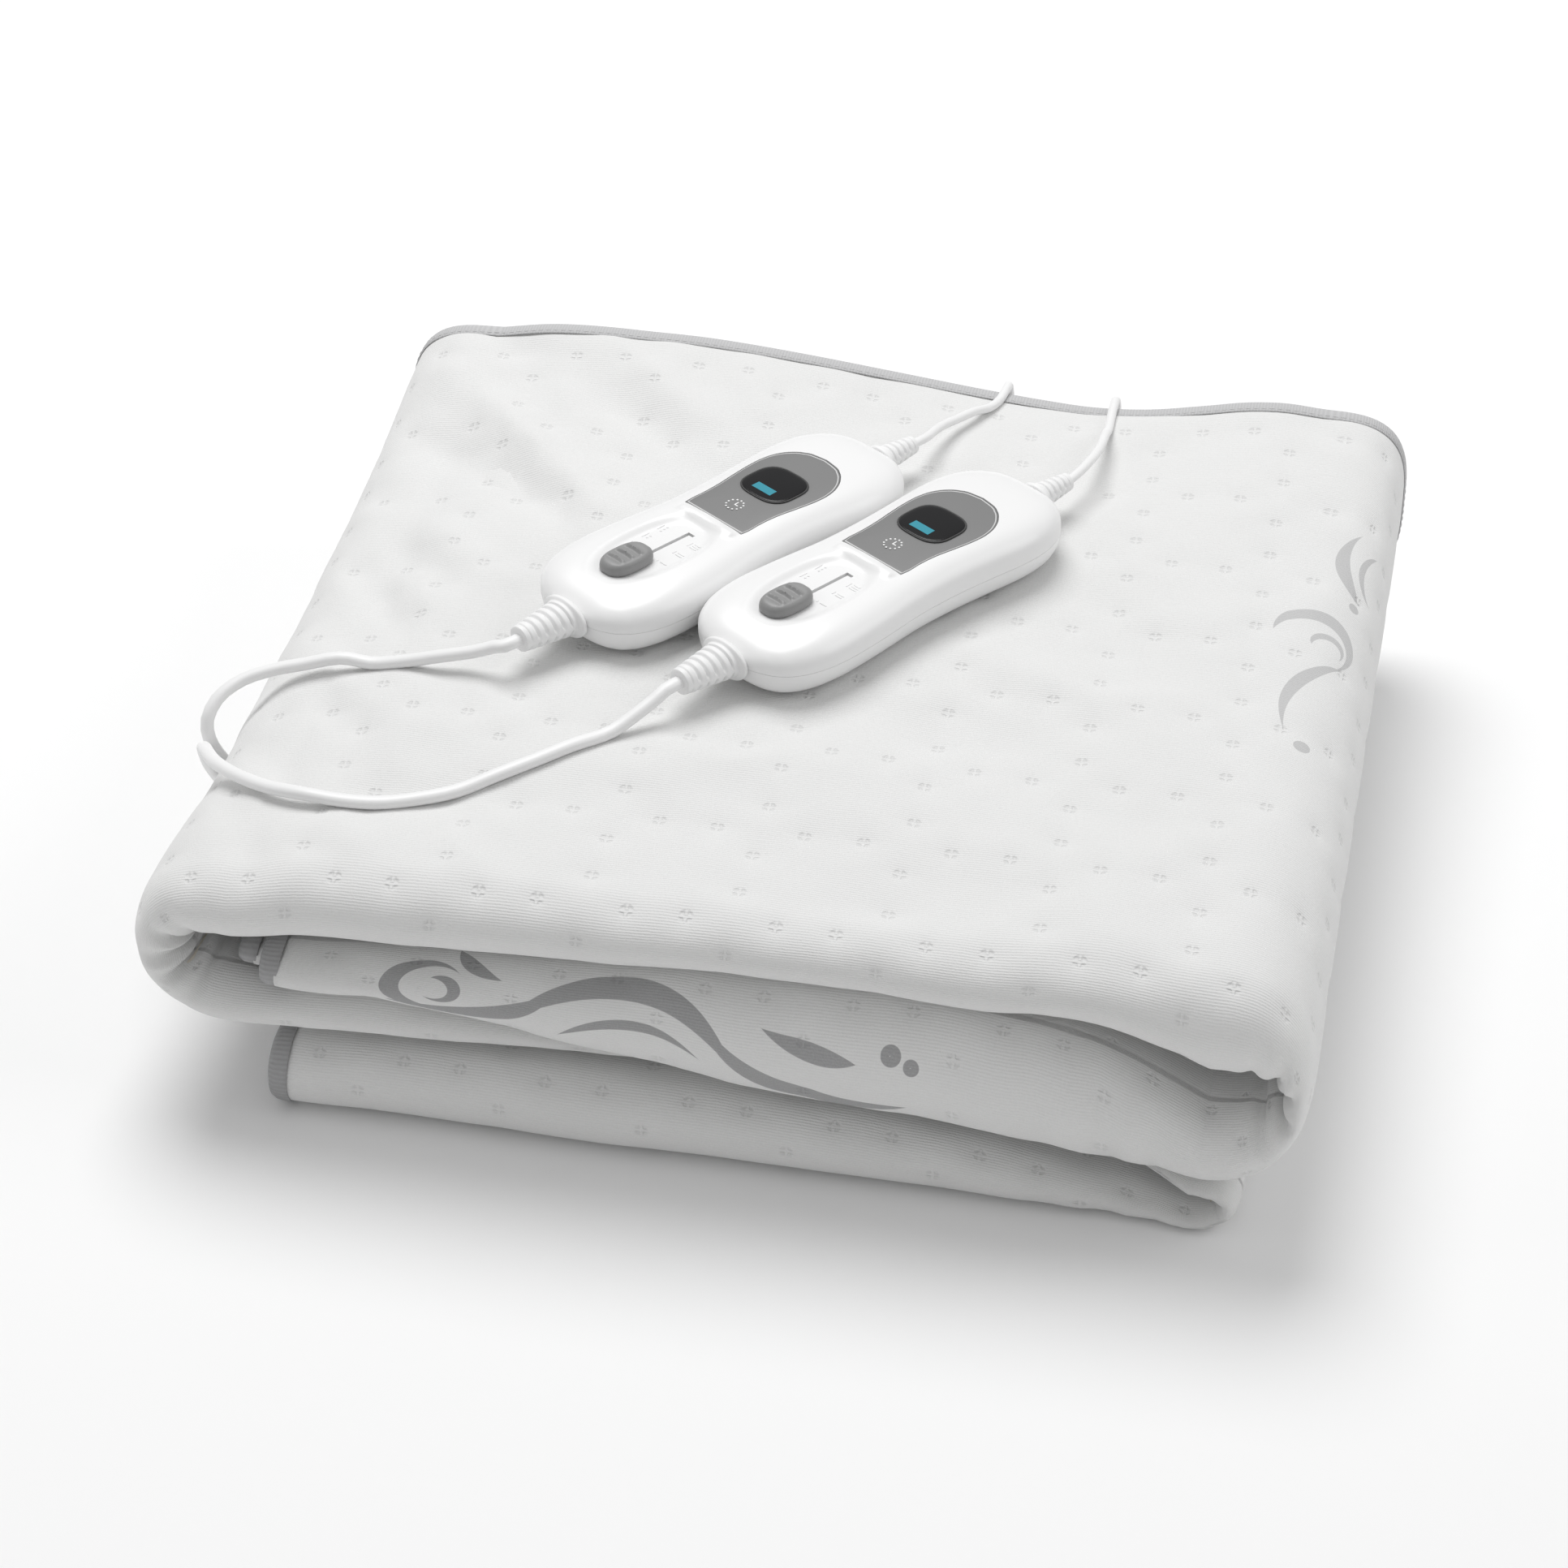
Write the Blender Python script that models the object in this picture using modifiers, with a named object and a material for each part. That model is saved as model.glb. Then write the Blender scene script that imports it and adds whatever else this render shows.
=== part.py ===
import bmesh
import bpy
import numpy as np
from math import cos, pi, radians, sin, tau
from mathutils import Matrix, Vector

# Heated double underblanket, folded four by four, with its two hand controllers lying on it
# Metres, +Z up, +Y to the back, origin under the middle of the folded stack

mm = 0.001

# Folded sheet, cut across the depth
half_width = 200 * mm
front_y = -181 * mm
back_y = 184 * mm
hem_width = 6.5 * mm
droop_y = 120 * mm
lip_depth = 19 * mm
sheet_gap = 0.6 * mm
backing_thick = 0.8 * mm
cable_dia = 1.6 * mm
cable_clear = 0.25 * mm
seat_gap = 0.3 * mm
inner_lip_depth = 1.2 * mm
slit_inset = 1.5 * mm
lip_steps = 5
turn_steps = 3

# Stack of the four rolled layers, first to last from the floor up
hem_inset = 50 * mm
lower_right_inset = 38 * mm
mid_left_inset = 80 * mm
mid_right_inset = 115 * mm
thick_a_left = 24 * mm
thick_a_right = 16 * mm
thick_b_left = 20 * mm
thick_b_right = 16 * mm
thick_c = 22 * mm
thick_d_left = 20 * mm
thick_d_right = 24 * mm
layer_clear = 1 * mm
fold_clear = 3 * mm
mouth_gap = 16 * mm
shoulder_drop = 9 * mm
reach_a = -3 * mm
reach_b = 8 * mm
reach_c = 0 * mm
reach_d = -3 * mm

# Rise and fall of the back edge, as shares of the height, from the left corner to the right
droop_shares = (0.19, 0.085, -0.058, 0.081)

# Heating cables, each a serpentine over one half of the flat blanket
runs_in_layers = (2, 2, 2, 2)
cable_turn_y = 104 * mm
cable_corner = 14 * mm
cable_edge_margin = 22 * mm

# Tape along the hems
tape_slit = 0.3 * mm
tape_round = 2 * mm

slot_half = backing_thick / 2 + cable_dia + 2 * cable_clear


for item in list(bpy.data.objects):
    bpy.data.objects.remove(item, do_unlink=True)

parts = bpy.data.collections.new("electric_blanket")
cutters = bpy.data.collections.new("cutters")
bpy.context.scene.collection.children.link(parts)
bpy.context.scene.collection.children.link(cutters)


def material(name, color, roughness, metallic=0.0):
    made = bpy.data.materials.new(name)
    made.use_nodes = True
    shader = made.node_tree.nodes["Principled BSDF"]
    shader.inputs["Base Color"].default_value = (*color, 1)
    shader.inputs["Roughness"].default_value = roughness
    shader.inputs["Metallic"].default_value = metallic
    return made


def add_object(name, mesh, color, roughness, metallic=0.0):
    made = bpy.data.objects.new(name, mesh)
    parts.objects.link(made)
    made.data.materials.clear()
    made.data.materials.append(material(name, color, roughness, metallic))
    return made


white_velour = (0.86, 0.86, 0.86)
grey_tape = (0.42, 0.42, 0.43)
white_plastic = (0.88, 0.88, 0.88)
grey_plastic = (0.30, 0.30, 0.30)


# Heights and ends of the four layers

top_height = thick_a_left + thick_b_left + thick_d_left + 2 * layer_clear + mouth_gap + thick_c
hem_left_x = hem_inset - half_width
lower_right_x = half_width - lower_right_inset
mid_left_x = mid_left_inset - half_width
mid_right_x = half_width - mid_right_inset
center_b_left = thick_a_left + layer_clear + thick_b_left / 2
center_b_right = thick_a_right + fold_clear + thick_b_right / 2
center_c = top_height - thick_c / 2
center_c_left = center_c - shoulder_drop
center_d_left = center_b_left + (thick_b_left + thick_d_left) / 2 + layer_clear
center_d_right = center_b_right + (thick_b_right + thick_d_right) / 2 + layer_clear
left_radius = (center_c_left - center_b_left) / 2
right_radius = (center_c - center_d_right) / 2
left_x = left_radius + (thick_b_left + thick_c) / 4 - half_width
upper_right_x = half_width - right_radius - (thick_c + thick_d_right) / 4


# Every place in the folded sheet is a ring along the roll, a depth and a level in the fold

def between(x, x_left, left, x_right, right):
    return left + (right - left) * (x - x_left) / (x_right - x_left)


def mid_a(x):
    return between(x, hem_left_x, thick_a_left, lower_right_x, thick_a_right) / 2


def flat_ring(x, center, thick, facing, reach):
    return {"x": x, "z": center, "out": (0, facing), "thick": thick, "reach": reach}


def fold_rings(x, low, high, thick_low, thick_high, side, outward, reaches, steps, rising):
    """Rings round a half turn; outward is +1 where the bound edges lie outside."""
    rings = []
    for step in range(1, steps):
        share = step / steps
        angle = -pi / 2 + pi * share
        radius = (high - low) / 2
        ring = {
            "x": x + side * radius * cos(angle),
            "z": (high + low) / 2 + radius * sin(angle),
            "out": (side * outward * cos(angle), outward * sin(angle)),
            "thick": thick_low + (thick_high - thick_low) * share,
            "reach": reaches[0] + (reaches[1] - reaches[0]) * share,
        }
        rings.append(ring)
    return rings if rising else rings[::-1]


def roll_rings():
    rings = []
    for x in (hem_left_x, mid_left_x, mid_right_x, lower_right_x):
        rings.append(flat_ring(x, mid_a(x), 2 * mid_a(x), 1, reach_a))
    rings += fold_rings(lower_right_x, mid_a(lower_right_x), center_b_right, thick_a_right,
                        thick_b_right, 1, -1, (reach_a, reach_b), 4, True)
    for x in (lower_right_x, mid_right_x, mid_left_x, left_x):
        center = between(x, left_x, center_b_left, lower_right_x, center_b_right)
        thick = between(x, left_x, thick_b_left, lower_right_x, thick_b_right)
        rings.append(flat_ring(x, center, thick, -1, reach_b))
    rings += fold_rings(left_x, center_b_left, center_c_left, thick_b_left, thick_c,
                        -1, 1, (reach_b, reach_c), 6, True)
    for x, center in ((left_x, center_c_left), (mid_left_x, center_c), (mid_right_x, center_c),
                      (upper_right_x, center_c)):
        rings.append(flat_ring(x, center, thick_c, 1, reach_c))
    rings += fold_rings(upper_right_x, center_d_right, center_c, thick_d_right, thick_c,
                        1, 1, (reach_d, reach_c), 6, False)
    for x in (upper_right_x, mid_right_x, mid_left_x, hem_left_x):
        center = between(x, hem_left_x, center_d_left, upper_right_x, center_d_right)
        thick = between(x, hem_left_x, thick_d_left, upper_right_x, thick_d_right)
        rings.append(flat_ring(x, center, thick, -1, reach_d))
    return rings


rings = roll_rings()


def levels(thick):
    """Heights above the middle of the four layers, from the outer velour inwards."""
    face = (thick - sheet_gap) / 4 - slot_half
    middle = (thick + sheet_gap) / 4
    return {
        "outer": thick / 2,
        "slot_outer": thick / 2 - face,
        "cable_outer": middle + backing_thick / 2 + cable_clear + cable_dia / 2,
        "back_outer": middle + backing_thick / 2,
        "back_inner": middle - backing_thick / 2,
        "cable_inner": middle - backing_thick / 2 - cable_clear - cable_dia / 2,
        "slot_inner": sheet_gap / 2 + face,
        "inner": sheet_gap / 2,
    }


def droop(x):
    stations = (-half_width, mid_left_x, mid_right_x, half_width)
    return float(np.interp(x, stations, droop_shares))


def spot(ring, y, n):
    """World place of depth y and level n on one ring, with the wave of the back edge."""
    out = ring["out"]
    x = ring["x"] + out[0] * n
    z = ring["z"] + out[1] * n
    fall = max(0.0, (y - droop_y) / (back_y - droop_y))
    return Vector((x, y, z * (1 + fall * droop(x))))


def lip(ring, level, steps, downward=True):
    """Half round of the front lip at one level, from its Q side to its fold side."""
    depth = lip_depth * level / (ring["thick"] / 2)
    centre = front_y + lip_depth + ring["reach"]
    pairs = []
    for step in range(steps + 1):
        angle = pi * step / steps
        pairs.append((centre - depth * sin(angle), level * cos(angle)))
    return pairs if downward else pairs[::-1]


hem_start_y = back_y - hem_width - seat_gap


def back_turn(low, high, steps):
    """Half round where the doubled sheet turns at the back, below the middle."""
    centre = (low + high) / 2
    radius = (high - low) / 2
    pairs = []
    for step in range(steps + 1):
        angle = pi * step / steps
        pairs.append((hem_start_y + radius * sin(angle), -centre - radius * cos(angle)))
    return pairs


def face_section(ring, slot=None):
    """Hairpin of the doubled sheet, open along the slot between its two thicknesses."""
    lv = levels(ring["thick"])
    outer, inner = lv["outer"], lv["inner"]
    slot_inner, slot_outer = slot or (lv["slot_inner"], lv["slot_outer"])
    inner_lip_y = front_y + lip_depth + ring["reach"] - inner_lip_depth
    slit_y = hem_start_y - slit_inset
    slot_end = [(slit_y, -slot_inner), (slit_y, -slot_outer)]
    if slot is None:
        slot_end = back_turn(slot_inner, slot_outer, turn_steps)[::-1]
    pairs = [(hem_start_y, outer), (droop_y, outer)]
    pairs += lip(ring, outer, lip_steps)
    pairs += [(droop_y, -outer)] + back_turn(inner, outer, turn_steps) + [(droop_y, -inner)]
    pairs += [(inner_lip_y, -inner), (inner_lip_y, inner)]
    pairs += [(droop_y, inner), (hem_start_y, inner), (hem_start_y, slot_inner), (droop_y, slot_inner)]
    pairs += lip(ring, slot_inner, lip_steps)
    pairs += [(droop_y, -slot_inner)] + slot_end
    pairs += [(droop_y, -slot_outer)] + lip(ring, slot_outer, lip_steps, False)
    pairs += [(droop_y, slot_outer), (hem_start_y, slot_outer)]
    return pairs


def backing_section(ring):
    lv = levels(ring["thick"])
    outer, inner = lv["back_outer"], lv["back_inner"]
    pairs = [(hem_start_y, outer), (droop_y, outer)] + lip(ring, outer, lip_steps)
    pairs += [(droop_y, -outer), (hem_start_y, -outer), (hem_start_y, -inner), (droop_y, -inner)]
    pairs += lip(ring, inner, lip_steps, False) + [(droop_y, inner), (hem_start_y, inner)]
    return pairs


def strip_cap(form, row, split):
    """Cap of a band-shaped section, filled from its outer path across to its inner path."""
    outer, inner = row[:split], row[split:][::-1]
    i = j = 0
    while i < len(outer) - 1 or j < len(inner) - 1:
        last_outer, last_inner = i == len(outer) - 1, j == len(inner) - 1
        step_outer = not last_outer and (
            last_inner or (outer[i + 1].co - inner[j].co).length < (outer[i].co - inner[j + 1].co).length)
        ahead = outer[i + 1] if step_outer else inner[j + 1]
        form.faces.new((outer[i], inner[j], ahead))
        i, j = (i + 1, j) if step_outer else (i, j + 1)


def ring_mesh(name, loops, split=None):
    """Closed skin over loops of points; every four-sided patch is split the same way in depth."""
    mesh = bpy.data.meshes.new(name)
    form = bmesh.new()
    rows = [[form.verts.new(point) for point in loop] for loop in loops]
    count = len(rows[0])
    for near, far in zip(rows, rows[1:]):
        for i in range(count):
            j = (i + 1) % count
            a, b, c, d = near[i], near[j], far[j], far[i]
            if a.co.y > b.co.y:
                form.faces.new((a, b, c))
                form.faces.new((a, c, d))
            else:
                form.faces.new((a, b, d))
                form.faces.new((b, c, d))
    for row in (rows[0], rows[-1]):
        if split:
            strip_cap(form, row, split)
        else:
            form.faces.new(row)
    bmesh.ops.recalc_face_normals(form, faces=form.faces)
    form.to_mesh(mesh)
    form.free()
    return mesh


def folded_piece(name, section, split, color, roughness):
    loops = [[spot(ring, y, n) for y, n in section(ring)] for ring in rings]
    made = add_object(name, ring_mesh(name, loops, split), color, roughness)
    made.data.shade_smooth()
    made.data.set_sharp_from_angle(angle=radians(50))
    return made


# Points on the outer path of each section, which a cap is filled across
face_outer_path = 2 + (lip_steps + 1) + 1 + (turn_steps + 1) + 1 + 2 + 2
backing_outer_path = 2 + (lip_steps + 1) + 2


def make_sheets():
    folded_piece("face_fabric", face_section, face_outer_path, white_velour, 0.95)
    folded_piece("backing_fabric", backing_section, backing_outer_path, white_velour, 0.9)


def tape_section(ring, low, high):
    """Tape folded over one raw edge of the sheet, between two levels."""
    base = hem_start_y + seat_gap
    corner = (high - low) / 4
    return [(base, low), (back_y - tape_round, low), (back_y, low + corner), (back_y, high - corner),
            (back_y - tape_round, high), (base, high)]


def outer_tape(ring):
    return tape_section(ring, (ring["thick"] + sheet_gap) / 4 + tape_slit / 2, ring["thick"] / 2)


def inner_tape(ring):
    return tape_section(ring, sheet_gap / 2, (ring["thick"] + sheet_gap) / 4 - tape_slit / 2)


def side_hem(name, ring, steps):
    """Tape over the side edge of all four thicknesses, from the fabric's end outwards."""
    loops = []
    for offset, share in steps:
        end = dict(ring, x=ring["x"] - offset, thick=ring["thick"] * share)
        middle = (end["thick"] + sheet_gap) / 4
        slit = (middle - tape_slit / 2, middle + tape_slit / 2)
        loops.append([spot(end, y, n) for y, n in face_section(end, slit)])
    made = add_object(name, ring_mesh(name, loops, face_outer_path), grey_tape, 0.9)
    made.data.shade_smooth()
    made.data.set_sharp_from_angle(angle=radians(50))


def make_hems():
    folded_piece("back_hem_outer", outer_tape, None, grey_tape, 0.9)
    folded_piece("back_hem_inner", inner_tape, None, grey_tape, 0.9)
    steps = ((seat_gap, 1), (hem_width - tape_round, 1), (hem_width, 0.9))
    side_hem("side_hem_lower", rings[0], steps)
    side_hem("side_hem_upper", rings[-1], steps)


def blend_ring(a, b, share):
    mixed = {key: a[key] + (b[key] - a[key]) * share for key in ("x", "z", "thick", "reach")}
    return dict(mixed, out=a["out"])


def layer_ring(layer, x):
    """Ring of one flat layer at any x on it."""
    for a, b in zip(layer, layer[1:]):
        if min(a["x"], b["x"]) <= x <= max(a["x"], b["x"]):
            return blend_ring(a, b, (x - a["x"]) / (b["x"] - a["x"]))


def cable_route(level_name):
    """Runs from the back, round the front lip and back again, joined by turns near the back."""
    layers = (rings[0:4], rings[7:11], rings[16:20], rings[25:29])
    folds = (rings[3:8], rings[10:17], rings[19:26])
    points = []
    side = 1
    for index, (layer, runs) in enumerate(zip(layers, runs_in_layers)):
        start, end = layer[0]["x"], layer[-1]["x"]
        way = 1 if end > start else -1
        first, last = start + way * cable_edge_margin, end - way * cable_edge_margin
        xs = [first + (last - first) * run / (runs - 1) for run in range(runs)]
        for number, x in enumerate(xs):
            ring = layer_ring(layer, x)
            level = levels(ring["thick"])[level_name]
            trip = [(cable_turn_y - cable_corner, level)] + lip(ring, level, lip_steps)
            trip += [(cable_turn_y - cable_corner, -level)]
            points += [spot(ring, y, n) for y, n in (trip if side > 0 else trip[::-1])]
            side = -side
            if number < runs - 1:
                turn_xs = (x + way * cable_corner, xs[number + 1] - way * cable_corner)
                inner = [r["x"] for r in layer if min(turn_xs) < r["x"] < max(turn_xs)]
                turn_xs = sorted([*turn_xs, *inner], key=lambda value: value * way)
            else:
                turn_xs = (x + way * cable_corner,)
            for turn_x in turn_xs:
                ring = layer_ring(layer, turn_x)
                points.append(spot(ring, cable_turn_y, side * levels(ring["thick"])[level_name]))
        if index < len(folds):
            for ring in folds[index]:
                points.append(spot(ring, cable_turn_y, side * levels(ring["thick"])[level_name]))
            following = layers[index + 1]
            way = -way
            near = layer_ring(following, following[0]["x"] + way * (cable_edge_margin - cable_corner))
            points.append(spot(near, cable_turn_y, side * levels(near["thick"])[level_name]))
    return points


def tube(name, points, diameter, resolution, color, roughness):
    """Round cord as a curve with filled ends, turned into a mesh with its caps welded."""
    curve = bpy.data.curves.new(name, "CURVE")
    curve.dimensions = "3D"
    curve.bevel_depth = diameter / 2
    curve.bevel_resolution = resolution
    curve.use_fill_caps = True
    spline = curve.splines.new("POLY")
    spline.points.add(len(points) - 1)
    for point, place in zip(spline.points, points):
        point.co = (*place, 1)
    made = add_object(name, curve, color, roughness)
    return made


def make_cables():
    tube("heating_cable_left", cable_route("cable_outer"), cable_dia, 1, (0.75, 0.72, 0.65), 0.6)
    tube("heating_cable_right", cable_route("cable_inner"), cable_dia, 1, (0.75, 0.72, 0.65), 0.6)


make_sheets()
make_hems()
make_cables()

# Hand controllers: own frame with +X to the head, +Z up, origin under the middle of the body

controller_places = {"far": (-39.6 * mm, 34 * mm), "near": (21.9 * mm, 19.3 * mm)}
controller_turn = radians(54.4)
controller_clear = 0.3 * mm
body_half = 78 * mm
bulb_half = 30 * mm
body_height = 23.7 * mm
part_line = 11.5 * mm
shell_wall = 2 * mm
floor_wall = 2.2 * mm
roof_wall = 5.2 * mm
outline_shares = ((-1.0, 0.40), (-0.95, 0.64), (-0.84, 0.87), (-0.62, 1.0), (-0.3, 0.95), (0.0, 0.885),
                  (0.3, 0.91), (0.55, 0.965), (0.76, 0.90), (0.89, 0.70), (0.96, 0.50), (1.0, 0.30))
rise_shares = ((-1.0, 0.84), (-0.6, 0.93), (-0.1, 0.97), (0.15, 1.0), (0.65, 1.0), (1.0, 0.86))
bottom_inset_shares = ((0.0, 0.22), (0.10, 0.10), (0.40, 0.03), (1.0, 0.0))
top_inset_shares = ((0.0, 0.0), (0.40, 0.04), (0.73, 0.12), (0.92, 0.23), (1.0, 0.36))

fascia_inset = 28 * mm
fascia_clear = 0.5 * mm
fascia_front_half = 15 * mm
fascia_half = 18 * mm
fascia_thick = 1.2 * mm
fascia_recess = 1.2 * mm
window_offset = 2.25 * mm
window_half_x = 10.5 * mm
window_half_y = 11.5 * mm
window_proud = 0.3 * mm
window_steps = 20
window_power = 3
display_half_x = 7 * mm
display_half_y = 8.5 * mm
display_clear = 0.8 * mm
display_drop = 0.6 * mm

scoop_inset = 42 * mm
scoop_half_x = 28 * mm
scoop_half_y = 14.5 * mm
scoop_depth = 2.8 * mm
scoop_slope = 2.5 * mm
scoop_steps = 24
scoop_power = 2.4

knob_inset = 29 * mm
knob_half_x = 10.5 * mm
knob_half_y = 6.8 * mm
knob_height = 4.6 * mm
knob_ridge = 0.7 * mm
knob_ridge_pitch = 4.2 * mm
knob_ridge_wide = 1.2 * mm
knob_ridge_half = 3.7 * mm
knob_steps = 16
knob_power = 2.5
knob_shares = ((0, 0.94), (0.25, 1.0), (0.62, 0.96), (0.86, 0.84), (1.0, 0.6))
stem_half_x = 8 * mm
stem_half_y = 1.6 * mm
slot_clear = 0.4 * mm
slot_inset = 58 * mm
slider_travel = 18 * mm

board_thick = 1.6 * mm
board_end_clear = 6 * mm
board_half_y = 18 * mm
board_seat = 9.3 * mm
switch_half_x = 19 * mm
switch_half_y = 6 * mm
switch_roof_gap = 0.9 * mm
rib_inset = 44 * mm
rib_thick = 2 * mm
rib_half_y = 14 * mm

boss_mains_inset = 13 * mm
boss_blanket_inset = 14 * mm
boss_radius = 4.5 * mm
screw_radius = 1.4 * mm
screw_head_radius = 2.7 * mm
screw_head_height = 1.8 * mm
screw_length = 13 * mm
head_recess = 4 * mm
hole_clear = 0.3 * mm

overrun = 4 * mm
joint_overlap = 0.4 * mm

mains_boot_length = 22 * mm
mains_boot_wide = 12.5 * mm
mains_boot_tall = 8 * mm
mains_boot_small = 5.8 * mm
blanket_boot_length = 17 * mm
blanket_boot_wide = 8 * mm
blanket_boot_tall = 6.2 * mm
blanket_boot_small = 3.8 * mm
boot_neck_radius = 4.4 * mm
boot_neck_length = 6 * mm
boot_rib_depth_share = 0.16
boot_flange_share = 0.09
boot_start_wide_share = 0.80
boot_start_tall_share = 0.84
boot_end_tall_share = 0.8
boot_groove_share = 0.22
boot_steps = 10
mains_boot_ribs = 5
blanket_boot_ribs = 4

# Places along the body, from its two ends
scoop_x = scoop_inset - body_half
knob_x = knob_inset - body_half
slot_end = slot_inset - body_half
rib_x = body_half - rib_inset
fascia_front = scoop_x + scoop_half_x + fascia_clear
fascia_back = body_half - fascia_inset
window_x = (fascia_front + fascia_back) / 2 + window_offset


def curve_at(shares, x):
    """Straight-line reading of a table of shares."""
    for (x0, y0), (x1, y1) in zip(shares, shares[1:]):
        if x <= x1:
            t = max(0.0, (x - x0) / (x1 - x0))
            return y0 + (y1 - y0) * t
    return shares[-1][1]


def body_ring(height_share, inset_share, low, high):
    """One level of the housing's outline; the roof follows the rise along the body."""
    stations = [x for x, half in outline_shares]
    halves = [half for x, half in outline_shares]
    ring = []
    keep = 1 - inset_share
    end_keep = 1 - inset_share * bulb_half / body_half
    for x_share, half_share in zip(stations + stations[::-1], halves + [-half for half in halves[::-1]]):
        rise = curve_at(rise_shares, x_share) if high > low else 1
        z = low + (high - low) * height_share * (rise if height_share > 0 else 1)
        ring.append(Vector((x_share * body_half * end_keep, half_share * bulb_half * keep, z)))
    return ring


def shell_mesh(name, loops):
    """Closed shell lofted over levels that each mirror across the long axis."""
    mesh = bpy.data.meshes.new(name)
    form = bmesh.new()
    rows = [[form.verts.new(point) for point in loop] for loop in loops]
    count = len(rows[0])
    for near, far in zip(rows, rows[1:]):
        for i in range(count):
            j = (i + 1) % count
            form.faces.new((near[i], near[j], far[j], far[i]))
    for row in (rows[0], rows[-1]):
        for i in range(count // 2 - 1):
            form.faces.new((row[i], row[i + 1], row[count - 2 - i], row[count - 1 - i]))
    bmesh.ops.recalc_face_normals(form, faces=form.faces)
    form.to_mesh(mesh)
    form.free()
    mesh.shade_smooth()
    mesh.set_sharp_from_angle(angle=radians(42))
    return mesh


def outline_mesh(name, outline, low, high, top_outline=None):
    """Plate from a plan outline, with its own top outline where the sides slope."""
    mesh = bpy.data.meshes.new(name)
    form = bmesh.new()
    bottom = [form.verts.new((x, y, low)) for x, y in outline]
    top = [form.verts.new((x, y, high)) for x, y in (top_outline or outline)]
    count = len(bottom)
    for i in range(count):
        j = (i + 1) % count
        form.faces.new((bottom[i], bottom[j], top[j], top[i]))
    form.faces.new(bottom[::-1])
    form.faces.new(top)
    bmesh.ops.recalc_face_normals(form, faces=form.faces)
    form.to_mesh(mesh)
    form.free()
    return mesh


def box_mesh(name, low, high):
    mesh = bpy.data.meshes.new(name)
    form = bmesh.new()
    low, high = Vector(low), Vector(high)
    size = Matrix.Diagonal((*(high - low), 1))
    bmesh.ops.create_cube(form, size=1, matrix=Matrix.Translation((low + high) / 2) @ size)
    form.to_mesh(mesh)
    form.free()
    return mesh


def rod_mesh(name, radius, start, end, sides=10):
    """Straight round bar between two points."""
    mesh = bpy.data.meshes.new(name)
    form = bmesh.new()
    start, end = Vector(start), Vector(end)
    along = end - start
    place = Matrix.Translation((start + end) / 2) @ along.to_track_quat("Z", "Y").to_matrix().to_4x4()
    bmesh.ops.create_cone(form, cap_ends=True, segments=sides, radius1=radius, radius2=radius,
                          depth=along.length, matrix=place)
    form.to_mesh(mesh)
    form.free()
    return mesh


def oval(center_x, half_x, half_y, count, power=2.0):
    points = []
    for i in range(count):
        a = tau * i / count
        c, s = cos(a), sin(a)
        points.append((center_x + half_x * abs(c) ** (2 / power) * (1 if c >= 0 else -1),
                       half_y * abs(s) ** (2 / power) * (1 if s >= 0 else -1)))
    return points


def tool(name, mesh, parent):
    """Cutter or blank, kept out of the model."""
    made = bpy.data.objects.new(name, mesh)
    cutters.objects.link(made)
    made.parent = parent
    made.hide_render = True
    made.display_type = "WIRE"
    return made


def boolean(target, piece, operation):
    step = target.modifiers.new(piece.name, "BOOLEAN")
    step.operation = operation
    step.solver = "EXACT"
    step.object = piece


def controller_piece(name, mesh, parent, color, roughness, metallic=0.0):
    made = add_object(name, mesh, color, roughness, metallic)
    made.parent = parent
    return made


roof_z = body_height
scoop_floor = roof_z - scoop_depth
pocket_floor = roof_z - fascia_recess
inner_roof = body_height - roof_wall
board_top = board_seat + seat_gap + board_thick
boss_xs = (boss_mains_inset - body_half, body_half - boss_blanket_inset)
board_low_x = boss_xs[0] + boss_radius + board_end_clear
board_high_x = boss_xs[1] - boss_radius - board_end_clear
switch_top = inner_roof - switch_roof_gap


def bottom_shell(side, holder):
    outer = [body_ring(h, inset, 0, part_line) for h, inset in bottom_inset_shares]
    wall_share = shell_wall / bulb_half
    inner = [body_ring(1, wall_share, 0, part_line)]
    for h, inset in bottom_inset_shares[2::-1]:
        level = floor_wall + (part_line - floor_wall) * h
        inner.append([Vector((p.x, p.y, level)) for p in body_ring(1, wall_share + inset, 0, part_line)])
    name = "bottom_shell_" + side
    made = controller_piece(name, shell_mesh(name, outer + inner), holder, white_plastic, 0.35)
    for index, x in enumerate((-rib_x, rib_x)):
        rib = box_mesh("rib", (x - rib_thick / 2, -rib_half_y, floor_wall - joint_overlap),
                       (x + rib_thick / 2, rib_half_y, board_seat))
        boolean(made, tool(f"{name}_rib_{index}", rib, holder), "UNION")
    for index, x in enumerate(boss_xs):
        boss = rod_mesh("boss", boss_radius, (x, 0, floor_wall - joint_overlap), (x, 0, part_line))
        boolean(made, tool(f"{name}_boss_{index}", boss, holder), "UNION")
        hole = rod_mesh("hole", screw_radius + hole_clear, (x, 0, -overrun), (x, 0, part_line + overrun))
        boolean(made, tool(f"{name}_hole_{index}", hole, holder), "DIFFERENCE")
        recess = rod_mesh("recess", screw_head_radius + hole_clear, (x, 0, -overrun), (x, 0, head_recess))
        boolean(made, tool(f"{name}_recess_{index}", recess, holder), "DIFFERENCE")
    boot_holes(made, holder, name)


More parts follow.
